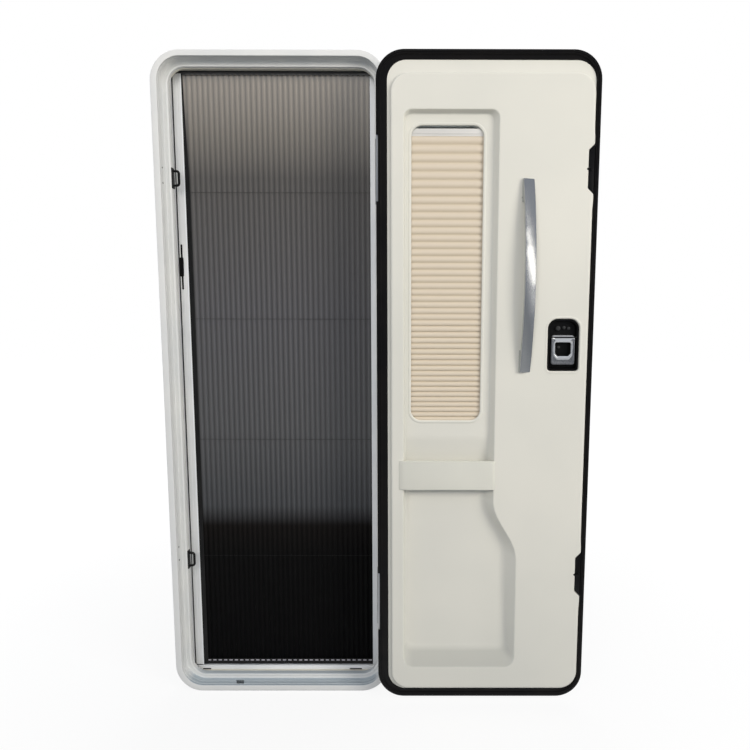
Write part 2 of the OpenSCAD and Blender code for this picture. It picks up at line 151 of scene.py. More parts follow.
def colour_ramp(
    tree: NodeTree, factor: NodeSocket, stops: Sequence[tuple[float, str]]
) -> NodeSocket:
    """Adds a ramp between hex colours.

    Args:
        tree: The node tree that takes the ramp.
        factor: The socket that runs along the ramp.
        stops: A position from 0 to 1 and a hex colour for each stop, in order.

    Returns:
        The ramp's colour socket.
    """
    node = add_node(tree, "ShaderNodeValToRGB", inputs={"Fac": factor})
    elements = node.color_ramp.elements
    while len(elements) < len(stops):
        elements.new(0.5)
    for element, (position, colour) in zip(elements, stops):
        element.position = position
        element.color = linear(colour)
    return node.outputs["Color"]


def noise(tree: NodeTree, place: NodeSocket, scale: float, detail: float) -> NodeSocket:
    """Adds soft noise with its scale per metre and its number of finer layers."""
    inputs = {"Vector": place, "Scale": scale, "Detail": detail}
    return add_node(tree, "ShaderNodeTexNoise", inputs=inputs).outputs["Fac"]


def separate(tree: NodeTree, vector: NodeSocket) -> Mapping[str, NodeSocket]:
    """Takes a vector apart into the sockets named X, Y and Z."""
    return add_node(tree, "ShaderNodeSeparateXYZ", inputs={"Vector": vector}).outputs


def map_range(
    tree: NodeTree, value: NodeSocket, span: Point2 = (0.0, 1.0), result: Point2 = (0.0, 1.0)
) -> NodeSocket:
    """Maps a value from one span to another and holds it within the ends."""
    inputs = {"Value": value, "From Min": span[0], "From Max": span[1],
              "To Min": result[0], "To Max": result[1]}
    return add_node(tree, "ShaderNodeMapRange", inputs=inputs).outputs["Result"]


def combine(tree: NodeTree, operation: str, first: object, second: object) -> NodeSocket:
    """Adds a sum, product or other operation on two numbers."""
    node = add_node(tree, "ShaderNodeMath", {"operation": operation}, {0: first, 1: second})
    return node.outputs[0]


def mix_numbers(tree: NodeTree, share: NodeSocket, first: object, second: object) -> NodeSocket:
    """Mixes two numbers by a share from 0 to 1."""
    node = add_node(tree, "ShaderNodeMix", {"data_type": "FLOAT"}, {0: share, 2: first, 3: second})
    return node.outputs[0]


def mix_colours(tree: NodeTree, share: NodeSocket, first: object, second: object) -> NodeSocket:
    """Mixes two colours by a share from 0 to 1."""
    node = add_node(tree, "ShaderNodeMix", {"data_type": "RGBA"}, {0: share, 6: first, 7: second})
    return node.outputs[2]


def fold_mark(tree: NodeTree) -> NodeSocket:
    """Gives how far a point of pleated cloth lies on an outer fold."""
    return add_node(tree, "ShaderNodeAttribute", {"attribute_name": FOLD}).outputs["Fac"]


# Finishes


@dataclass(frozen=True)
class Finish:
    """A surface as it was made, with soft drift in its colour and a fine grain.

    Attributes:
        name: What the material is and how its surface was made.
        colour: Main colour.
        drift: Colour that broad soft patches lean to.
        roughness: Middle roughness.
        metallic: 1 for a bare metal.
        coat: Weight of a clear coat.
        sheen: Weight of a soft cloth-like edge light.
        patch: Size of the soft patches.
        grain: Size of the surface grain.
        grain_depth: Height of the grain.
        smear: How far the roughness wanders.
        stretch: Shares by which the grain is drawn out along x, y and z.
        ior: Index of refraction.
        specular: Strength of the plain reflection; 0.5 is the usual one.
    """

    name: str
    colour: str
    drift: str
    roughness: float
    metallic: float = 0.0
    coat: float = 0.0
    sheen: float = 0.0
    patch: float = 160.0
    grain: float = 1.5
    grain_depth: float = 0.03
    smear: float = 0.08
    stretch: Point3 = (1.0, 1.0, 1.0)
    ior: float = 1.5
    specular: float = 0.5

    def build(self) -> Material:
        """Makes the material, or returns the one made before."""
        made = bpy.data.materials.get(self.name)
        if made is not None:
            return made
        material = bpy.data.materials.new(self.name)
        material.use_nodes = True
        material.diffuse_color = linear(self.colour)
        tree = material.node_tree
        shader = tree.nodes["Principled BSDF"]
        place = add_node(tree, "ShaderNodeTexCoord").outputs["Object"]
        self.dress(tree, shader, place)
        shader.inputs["Metallic"].default_value = self.metallic
        shader.inputs["Coat Weight"].default_value = self.coat
        shader.inputs["Coat Roughness"].default_value = 0.12
        shader.inputs["Sheen Weight"].default_value = self.sheen
        if self.metallic == 0:
            shader.inputs["IOR"].default_value = self.ior
            shader.inputs["Specular IOR Level"].default_value = self.specular
        return material

    def dress(self, tree: NodeTree, shader: Node, place: NodeSocket) -> None:
        """Links colour, roughness and bump.

        Args:
            tree: The material's node tree.
            shader: Its main shader.
            place: Object coordinates in metres.
        """
        self.link_roughness(tree, shader, place)
        self.link_grain(tree, shader, place)
        tree.links.new(self.base_colour(tree, place), shader.inputs["Base Color"])

    def base_colour(self, tree: NodeTree, place: NodeSocket) -> NodeSocket:
        """Mixes the main colour with its drift in broad soft patches."""
        patches = noise(tree, place, 1 / (self.patch * MM), 3.0)
        return colour_ramp(tree, patches, [(0.35, self.colour), (0.7, self.drift)])

    def link_roughness(self, tree: NodeTree, shader: Node, place: NodeSocket) -> None:
        """Lets the roughness wander as handling and cleaning leave it."""
        smears = noise(tree, place, 3 / (self.patch * MM), 4.0)
        ends = (max(0.02, self.roughness - self.smear), min(1.0, self.roughness + self.smear))
        tree.links.new(map_range(tree, smears, (0.3, 0.7), ends), shader.inputs["Roughness"])

    def link_grain(self, tree: NodeTree, shader: Node, place: NodeSocket) -> None:
        """Raises the fine grain as a bump."""
        inputs = {"Vector": place, "Scale": self.stretch}
        drawn = add_node(tree, "ShaderNodeMapping", inputs=inputs).outputs["Vector"]
        grain = noise(tree, drawn, 1 / (self.grain * MM), 2.0)
        inputs = {"Height": grain, "Distance": self.grain_depth * MM, "Strength": 0.6}
        bump = add_node(tree, "ShaderNodeBump", inputs=inputs)
        tree.links.new(bump.outputs["Normal"], shader.inputs["Normal"])


@dataclass(frozen=True)
class NetFinish(Finish):
    """A pleated polyester net that lets some of the background through, with painted light and
    shade by height and by fold.

    Attributes:
        height: Lowest and highest z of the net.
        shades: Share of the height, painted colour and opacity as grey, from the foot up.
        contrast: How much painted light the outer folds get and painted shade the inner ones.
    """

    height: tuple[float, float] = (0.0, 1.0)
    shades: tuple[tuple[float, str, str], ...] = ()
    contrast: float = 0.45

    def dress(self, tree: NodeTree, shader: Node, place: NodeSocket) -> None:
        """Links painted light and shade to the height on the net and to its folds, opacity to the
        height, and the weave to its grain.
        """
        self.link_roughness(tree, shader, place)
        self.link_grain(tree, shader, place)
        low, high = (z * MM for z in self.height)
        share = map_range(tree, separate(tree, place)["Z"], (low, high))
        # Painted light and shade by height: lighter and brownish at the head, near black at the
        # foot.
        colour = colour_ramp(tree, share, [(s, c) for s, c, _ in self.shades])
        opacity = colour_ramp(tree, share, [(s, a) for s, _, a in self.shades])
        # Painted light on the outer folds and painted shade in the inner ones.
        light = map_range(tree, fold_mark(tree), result=(1 - self.contrast, 1 + self.contrast))
        shaded = add_node(
            tree, "ShaderNodeVectorMath", {"operation": "SCALE"}, {"Vector": colour, "Scale": light}
        )
        tree.links.new(shaded.outputs["Vector"], shader.inputs["Base Color"])
        tree.links.new(opacity, shader.inputs["Alpha"])


@dataclass(frozen=True)
class FoldedClothFinish(Finish):
    """A pleated cloth with painted shade in its creases and painted light on its outer folds.

    Attributes:
        crease_shade: Colour of the painted shade in the creases.
    """

    crease_shade: str = "#A09070"

    def base_colour(self, tree: NodeTree, place: NodeSocket) -> NodeSocket:
        """Paints shade in where the folds meet and light on the outer folds."""
        # Painted shade in the creases, painted light on the outer folds.
        stops = [(0.0, self.crease_shade), (0.45, self.drift), (1.0, self.colour)]
        return colour_ramp(tree, fold_mark(tree), stops)


@dataclass(frozen=True)
class SillFinish(Finish):
    """A pale surface that is dull, with painted shade that greys its upward faces low down.

    Attributes:
        sill: Colour of the painted shade.
        reach: Height in metres above which no shade is painted.
    """

    sill: str = "#AEB7BC"
    reach: float = 0.05

    def base_colour(self, tree: NodeTree, place: NodeSocket) -> NodeSocket:
        """Mixes the painted shade in by height and by how far a face looks up."""
        unshaded = super().base_colour(tree, place)
        normal = add_node(tree, "ShaderNodeTexCoord").outputs["Normal"]
        low = map_range(tree, separate(tree, place)["Z"], (0.02, self.reach), (1.0, 0.0))
        up = map_range(tree, separate(tree, normal)["Z"], (0.05, 0.8))
        # Painted shade: upward faces low down lean to the sill colour.
        return mix_colours(tree, combine(tree, "MULTIPLY", low, up), unshaded, linear(self.sill))


@dataclass(frozen=True)
class ClearFinish(Finish):
    """A clear sheet, slightly tinted."""

    def dress(self, tree: NodeTree, shader: Node, place: NodeSocket) -> None:
        """Lets light through and keeps a faint ripple."""
        super().dress(tree, shader, place)
        shader.inputs["Transmission Weight"].default_value = 1.0


# Powder-coated aluminium: a smooth white with a very slight orange peel, and painted shade that
# greys the upward faces near its foot.
FRAME_COAT = SillFinish(
    "powder_coated_aluminium", "#E6E7E4", "#DEE0DF", 0.42, grain=1.6, grain_depth=0.015,
    sill="#A3AEB5",
)
# ABS moulding of the inner frame, a warmer white with a dull face.
INNER_FRAME_MOULDING = Finish("moulded_abs_ivory", "#DEDBCE", "#D5D3C7", 0.55, grain_depth=0.03)
# Extruded aluminium of the screen's bar, coated white and drawn along its length.
BAR_COAT = Finish(
    "coated_extruded_aluminium", "#DFE1E1", "#D3D6D8", 0.4, grain=2.0, grain_depth=0.03,
    stretch=(1.0, 1.0, 0.02),
)
# The same coating with painted light, brighter, on the cassette, the lower track and the bar's
# painted edge highlight.
PAINTED_LIGHT_COAT = Finish(
    "coated_aluminium_painted_light", "#F0F3F5", "#E6EAED", 0.38, grain=2.0, grain_depth=0.02,
    stretch=(0.02, 1.0, 1.0),
)
# Dark grey moulding of the upper track.
TRACK_DARK = Finish("moulded_abs_dark_grey", "#2B2C2D", "#343536", 0.5)
# Wire of the strikers, black and slightly glossy.
STRIKER_BLACK = Finish("black_painted_steel", "#0A0A0A", "#121110", 0.4, grain=0.8, specular=0.3)
# Bare pins.
PIN_STEEL = Finish("turned_stainless_steel", "#C4C6C8", "#B2B5B7", 0.28, metallic=1.0, patch=30.0)
# Glossy outer sheet of the leaf.
OUTER_GLOSS = Finish(
    "glossy_coated_sheet", "#ECECE8", "#E6E7E5", 0.16, coat=0.6, grain=6.0, grain_depth=0.01,
    smear=0.04,
)
# Mill-finish aluminium of the leaf's edge.
EDGE_ALUMINIUM = Finish(
    "extruded_aluminium", "#B9BCBE", "#A9ACAE", 0.4, metallic=1.0, grain=0.9, grain_depth=0.02,
    stretch=(1.0, 1.0, 0.05),
)
# EPDM rubber: near black, soft sheen with a brownish cast where it is handled.
SEAL_RUBBER = Finish(
    "extruded_epdm_rubber", "#080809", "#100E0D", 0.52, sheen=0.03, patch=90.0, grain=1.2,
    grain_depth=0.05, smear=0.1, specular=0.2,
)
# Inner panel: thermoformed ABS with a fine leather-like grain, cream, with painted shade that greys
# its upward faces low down, as on the bin's ledge.
PANEL_CREAM = SillFinish(
    "thermoformed_abs_cream", "#E0DFD5", "#D8D8CF", 0.46, patch=420.0, grain=1.1,
    grain_depth=0.05, smear=0.06, sill="#7E817B", reach=0.6,
)
# Storage rail: moulded apart from the same plastic, a touch darker.
RAIL_CREAM = Finish(
    "injection_moulded_abs_cream", "#DCDCD1", "#D5D5CB", 0.42, patch=200.0, grain=1.0,
    grain_depth=0.03,
)
# Acrylic of the window.
CLEAR_ACRYLIC = ClearFinish(
    "cast_acrylic_clear", "#E9EEEE", "#E4EBEB", 0.05, smear=0.02, grain=60.0, grain_depth=0.05,
    ior=1.49,
)
# Hinges: satin anodised aluminium.
HINGE_ALUMINIUM = Finish(
    "satin_anodised_aluminium", "#C9CBCB", "#BDBFC0", 0.38, metallic=0.85, grain=0.7,
    grain_depth=0.02,
)
# Grab handle: aluminium brushed along its length.
BRUSHED_HANDLE = Finish(
    "brushed_anodised_aluminium", "#C6C8C8", "#BDC0C2", 0.24, metallic=1.0, patch=300.0, grain=0.5,
    grain_depth=0.008, stretch=(1.0, 1.0, 0.05), smear=0.02,
)
# Lock bezel and latches: glossy black injection moulding.
BLACK_MOULDING = Finish(
    "injection_moulded_abs_black", "#080808", "#0E0E0F", 0.38, patch=60.0, grain=0.8,
    grain_depth=0.02, specular=0.2,
)
# White moulding of the blind's rail.
BLIND_WHITE = Finish("moulded_abs_white", "#DAD9D5", "#D3D2CE", 0.45)
# Cloth of the blind: non-woven polyester, matt with a soft fibre, with painted shade in its
# creases.
BLIND_CLOTH = FoldedClothFinish(
    "pleated_nonwoven_polyester", "#DACEBB", "#D0C3AD", 0.85, sheen=0.2, patch=70.0, grain=0.9,
    grain_depth=0.08, crease_shade="#CABCA5",
)
# Lock paddle: die-cast zinc with a grained satin plating.
PADDLE_METAL = Finish(
    "die_cast_satin_plated_zinc", "#94969A", "#6F7276", 0.36, metallic=0.8, patch=5.0, grain=0.5,
    grain_depth=0.12, smear=0.12,
)
# Polished chrome edges of the paddle; their pale, part-metallic colour paints the highlight that
# they catch.
CHROME_PAINTED_HIGHLIGHT = Finish(
    "polished_chrome_painted_highlight", "#E8EAEC", "#DCDFE2", 0.14, metallic=0.72, grain_depth=0.005,
    smear=0.03,
)
# Screws: zinc-plated steel.
SCREW_STEEL = Finish("zinc_plated_steel", "#8D8C88", "#7C7A74", 0.35, metallic=1.0, patch=6.0)
# Net's cords and brush strips: black polyester.
BLACK_POLYESTER = Finish("black_polyester_pile", "#0A0A0A", "#111110", 0.8, sheen=0.1, grain=0.6)
# Lock workings: the same plastic as the surround, greyer.
LOCK_WORKINGS = Finish(
    "moulded_abs_greyer", "#3A3B3C", "#2A2B2B", 0.5, patch=9.0, grain=0.8, grain_depth=0.03
)
# Stitches along the net's hem: pale thread, slightly shiny.
PALE_STITCH = Finish("pale_polyester_thread", "#C8C5CE", "#B5B3BC", 0.5, patch=40.0)
# The net's colour and opacity from its foot to its head, painted light and shade: near black and
# opaque below, lighter, brownish and a little clearer above.
NET_PAINTED_SHADES = (
    (0.0, "#0B0B0C", "#FFFFFF"),
    (0.20, "#121212", "#FFFFFF"),
    (0.255, "#1B1918", "#FFFFFF"),
    (0.29, "#47494C", "#FEFEFE"),
    (0.42, "#525355", "#FDFDFD"),
    (0.62, "#57575A", "#FDFDFD"),
    (0.84, "#545250", "#FCFCFC"),
    (0.91, "#706B63", "#F8F8F8"),
    (1.0, "#8C857B", "#F2F2F2"),
)


# Outlines


def rounded_loop(corners: Sequence[Corner], steps: int = 10) -> Loop:
    """Rounds the corners of a closed outline.

    Args:
        corners: A point and its rounding radius for each corner, counterclockwise.
        steps: Number of segments in each rounding.

    Returns:
        The outline's points; a corner of radius 0 gives one point.
    """
    loop: Loop = []
    count = len(corners)
    for i, (x, z, radius) in enumerate(corners):
        here = Vector((x, z))
        if radius <= 0:
            loop.append((x, z))
            continue
        back = (Vector(corners[i - 1][:2]) - here).normalized()
        ahead = (Vector(corners[(i + 1) % count][:2]) - here).normalized()
        half = back.angle(ahead) / 2
        centre = here + (back + ahead).normalized() * radius / math.sin(half)
        start = here + back * radius / math.tan(half) - centre
        end = here + ahead * radius / math.tan(half) - centre
        turn = start.angle_signed(end)
        for k in range(steps + 1):
            spoke = start.copy()
            spoke.rotate(Matrix.Rotation(-turn * k / steps, 2))
            loop.append(tuple(centre + spoke))
    return loop


def box_corners(low: Point2, high: Point2, radii: Sequence[float]) -> list[Corner]:
    """Gives a rectangle's corners from the lower left, counterclockwise, with their radii."""
    (x0, z0), (x1, z1) = low, high
    return [(x0, z0, radii[0]), (x1, z0, radii[1]), (x1, z1, radii[2]), (x0, z1, radii[3])]


def box_loop(low: Point2, high: Point2) -> Loop:
    """Gives a square-cornered outline."""
    return [low, (high[0], low[1]), high, (low[0], high[1])]


def circle_loop(middle: Point2, radius: float, count: int) -> Loop:
    """Gives a circle as an outline of so many points."""
    x, z = middle
    angles = (2 * math.pi * i / count for i in range(count))
    return [(x + math.cos(a) * radius, z + math.sin(a) * radius) for a in angles]


def offset_loop(loop: Loop, distances: float | Sequence[float]) -> Loop:
    """Moves each point of a counterclockwise outline inward.

    Args:
        loop: The outline.
        distances: One distance for all points or one for each; below 0 moves outward.

    Returns:
        The moved points, as many as before.
    """
    count = len(loop)
    each = [distances] * count if isinstance(distances, (int, float)) else distances
    moved: Loop = []
    for i, (x, z) in enumerate(loop):
        here = Vector((x, z))
        a = here - Vector(loop[i - 1])
        b = Vector(loop[(i + 1) % count]) - here
        a = a.normalized() if a.length > 1e-6 else b.normalized()
        b = b.normalized() if b.length > 1e-6 else a
        side = Vector((-a.y - b.y, a.x + b.x))
        side.normalize()
        lean = max(0.35, side.dot(Vector((-a.y, a.x))))
        moved.append(tuple(here + side * each[i] / lean))
    return moved


def between(first: Sequence[float], last: Sequence[float], share: float) -> tuple[float, ...]:
    """Gives the point part of the way from one point to another."""
    return tuple(a + (b - a) * share for a, b in zip(first, last))


def mixed_loop(first: Loop, second: Loop, share: float) -> Loop:
    """Gives the outline part of the way from one outline to another."""
    return [between(a, b, share) for a, b in zip(first, second)]


def bend_point(first: Point3, middle: Point3, last: Point3, share: float) -> Point3:
    """Gives a point of the rounded bend that leads past a corner from one point to another."""
    weights = ((1 - share) ** 2, 2 * share * (1 - share), share * share)
    return tuple(sum(w * c for w, c in zip(weights, parts)) for parts in zip(first, middle, last))


def inside(point: Point2, loop: Loop) -> bool:
    """Tells whether a point lies within a closed outline."""
    x, z = point
    within = False
    x0, z0 = loop[-1]
    for x1, z1 in loop:
        if (z1 > z) != (z0 > z) and x < (x0 - x1) * (z - z1) / (z0 - z1) + x1:
            within = not within
        x0, z0 = x1, z1
    return within


def eased(value: float, low: float, high: float) -> float:
    """Gives 0 below low, 1 above high, and a smooth rise between them."""
    share = min(1.0, max(0.0, (value - low) / (high - low)))
    return share * share * (3 - 2 * share)


# Meshes


class Shell:
    """Points and faces of one mesh as it is built, in millimetres."""

    def __init__(self, place: Callable[[float, float, float], Point3] | None = None) -> None:
        """Starts an empty mesh.

        Args:
            place: Turns the shell's own coordinates into the part's frame.
        """
        self.place = place or (lambda x, y, z: (x, y, z))
        self.points: list[Point3] = []
        self.faces: list[tuple[int, ...]] = []
        self.marks: list[int] = []
        self.finish = 0

    def ring(self, loop: Loop, depth: float | Sequence[float]) -> list[int]:
        """Adds an outline at a depth.

        Args:
            loop: Points in the shell's first and third coordinate.
            depth: Its second coordinate, one for all or one for each point.

        Returns:
            The new points' numbers.
        """
        depths = [depth] * len(loop) if isinstance(depth, (int, float)) else depth
        start = len(self.points)
        self.points += [self.place(x, y, z) for (x, z), y in zip(loop, depths)]
        return list(range(start, len(self.points)))

    def face(self, numbers: Iterable[int]) -> None:
        """Adds a face with the finish that is in use."""
        self.faces.append(tuple(numbers))
        self.marks.append(self.finish)

    def bridge(self, first: Sequence[int], second: Sequence[int], closed: bool = True) -> None:
        """Joins two rings of as many points with a band of faces."""
        count = len(first)
        for i in range(count if closed else count - 1):
            j = (i + 1) % count
            self.face((first[i], first[j], second[j], second[i]))

    def skin(self, rings: Sequence[Sequence[int]], closed: bool = False) -> None:
        """Joins each ring to the next, and the last to the first where closed."""
        for a, b in zip(rings, rings[1:]):
            self.bridge(a, b)
        if closed:
            self.bridge(rings[-1], rings[0])

    def capped(self, rings: Sequence[Sequence[int]]) -> None:
        """Joins each ring to the next and closes the first and the last with a flat face."""
        self.skin(rings)
        self.face(rings[0])
        self.face(rings[-1])

    def prism(self, loop: Loop, depths: Sequence[float]) -> None:
        """Adds an outline's closed block from one depth to another."""
        self.capped([self.ring(loop, depth) for depth in depths])

    def section(self, loop: Loop, steps: Iterable[Point2]) -> list[list[int]]:
        """Adds a ring for each inset and depth of a section that runs round an outline."""
        return [self.ring(offset_loop(loop, inset), depth) for inset, depth in steps]

    def fill(
        self,
        outer: Sequence[int],
        outer_loop: Loop,
        holes: Sequence[tuple[Sequence[int], Loop]] = (),
        spare: Sequence[Point2] = (),
        depth: Callable[[float, float], float] | None = None,
    ) -> None:
        """Fills the space between rings with triangles.

        Args:
            outer: The outer ring's point numbers.
            outer_loop: Its outline.
            holes: Point numbers and outline of each hole.
            spare: Further points within, which follow the depth.
            depth: Depth of a spare point from its place.
        """
        numbers = list(outer)
        flat = [Vector(p) for p in outer_loop]
        edges = [(i, (i + 1) % len(flat)) for i in range(len(flat))]
        for ring, loop in holes:
            start = len(flat)
            numbers += ring
            flat += [Vector(p) for p in loop]
            edges += [(start + i, start + (i + 1) % len(loop)) for i in range(len(loop))]
        kept = [
            p for p in spare if inside(p, outer_loop) and not any(inside(p, h) for _, h in holes)
        ]
        if kept and depth:
            start = len(self.points)
            self.points += [self.place(x, depth(x, z), z) for x, z in kept]
            numbers += range(start, len(self.points))
            flat += [Vector(p) for p in kept]
        places, _, faces, origins, _, _ = delaunay_2d_cdt(flat, edges, [], 1, 1e-4)
        for face in faces:
            x = sum(places[i].x for i in face) / len(face)
            z = sum(places[i].y for i in face) / len(face)
            if not inside((x, z), outer_loop) or any(inside((x, z), loop) for _, loop in holes):
                continue
            if all(origins[i] for i in face):
                self.face(numbers[origins[i][0]] for i in face)

    def mesh(self, name: str, towards: Point3 | None = None) -> Object:
        """Makes the object, in metres, with its faces turned outward.

        Args:
            name: The object's name.
            towards: For an open shell, the side that its faces look to.

        Returns:
            The new object, in the scene.
        """
        data = bpy.data.meshes.new(name)
        data.from_pydata([tuple(c * MM for c in p) for p in self.points], [], self.faces)
        if any(self.marks):
            data.polygons.foreach_set("material_index", self.marks)
        shape = bmesh.new()
        shape.from_mesh(data)
        bmesh.ops.remove_doubles(shape, verts=shape.verts, dist=0.005 * MM)
        bmesh.ops.dissolve_degenerate(shape, edges=shape.edges, dist=0.001 * MM)
        bmesh.ops.recalc_face_normals(shape, faces=shape.faces)
        if towards is not None:
            look = Vector(towards)
            if sum(f.normal.dot(look) * f.calc_area() for f in shape.faces) < 0:
                bmesh.ops.reverse_faces(shape, faces=shape.faces)
        shape.to_mesh(data)
        shape.free()
        return stand(name, data)


def stand(name: str, data: bpy.types.ID) -> Object:
    """Puts a mesh, a lamp or a camera in the scene as an object."""
    obj = bpy.data.objects.new(name, data)
    bpy.context.scene.collection.objects.link(obj)
    return obj


def smooth(obj: Object, sharp_angle: float = 32.0) -> Object:
    """Shades a mesh smooth, with sharp edges above an angle in degrees."""
    obj.data.shade_smooth()
    obj.data.set_sharp_from_angle(angle=math.radians(sharp_angle))
    return obj


def bake(obj: Object) -> Object:
    """Turns an object's live modifiers into its mesh."""
    bpy.context.view_layer.update()
    graph = bpy.context.evaluated_depsgraph_get()
    data = bpy.data.meshes.new_from_object(
        obj.evaluated_get(graph), preserve_all_data_layers=True, depsgraph=graph
    )
    obj.modifiers.clear()
    obj.data = data
    return obj


def bevel(obj: Object, width: float, segments: int = 2, angle: float = 30.0) -> None:
    """Rounds a mesh's edges above an angle in degrees, and bakes the result."""
    edge = obj.modifiers.new("soft_edges", "BEVEL")
    edge.width = width * MM
    edge.segments = segments
    edge.limit_method = "ANGLE"
    edge.angle_limit = math.radians(angle)
    edge.harden_normals = True
    obj.data.shade_smooth()
    bake(obj)


def cut(obj: Object, tool: Object) -> None:
    """Takes a tool's volume out of a mesh and removes the tool."""
    knife = obj.modifiers.new("cut", "BOOLEAN")
    knife.operation = "DIFFERENCE"
    knife.solver = "EXACT"
    knife.object = tool
    bake(obj)
    bpy.data.objects.remove(tool)


def dress(obj: Object, finish: Finish, body: Body, nodes: Iterable[str] = ()) -> Object:
    """Gives a finished mesh its material and its body, and hides the solids that it stands for.

    Args:
        obj: The mesh.
        finish: Its finish.
        body: The body that it moves with.
        nodes: The solids that it stands for.

    Returns:
        The same object.
    """
    if not obj.data.materials:
        obj.data.materials.append(finish.build())
    nodes = tuple(nodes)
    if nodes:
        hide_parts(*nodes)
    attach(obj, body.value)
    LOG.info("%s: %d faces", obj.name, len(obj.data.polygons))
    return obj


@dataclass(frozen=True)
class Softened:
    """A solid of the frame shown with rounded edges and its finish.

    Attributes:
        node: The solid's name.
        finish: Its finish.
        body: The body that it moves with.
        slot: The record's material slot; not used.
        edge: Radius of its edges.
        segments: Segments in each rounded edge.
        swell: How far its surface is moved outward.
    """

    node: str
    finish: Finish
    body: Body
    slot: str
    edge: float = 0.6
    segments: int = 2
    swell: float = 0.0

    def shape(self) -> Object:
        """Copies the solid's mesh, joins its loose triangles and rounds its edges."""
        source = FRAME["nodes"][self.node]
        data = bpy.data.meshes.new(f"{self.node}_dressed")
        shape = bmesh.new()
        shape.from_mesh(source.data)
        shape.transform(source.matrix_world)
        bmesh.ops.remove_doubles(shape, verts=shape.verts, dist=0.01 * MM)
        bmesh.ops.dissolve_limit(
            shape, angle_limit=math.radians(0.6), verts=shape.verts, edges=shape.edges
        )
        shape.normal_update()
        for vertex in shape.verts if self.swell else ():
            vertex.co += vertex.normal * self.swell * MM
        shape.to_mesh(data)
        shape.free()
        obj = stand(f"{self.node}_dressed", data)
        if self.edge > 0:
            bevel(obj, self.edge, self.segments)
        else:
            smooth(obj)
        return obj

    def build(self) -> Object:
        """Makes the softened copy and puts it in the solid's place."""
        return dress(self.shape(), self.finish, self.body, (self.node,))


# Geometry Nodes


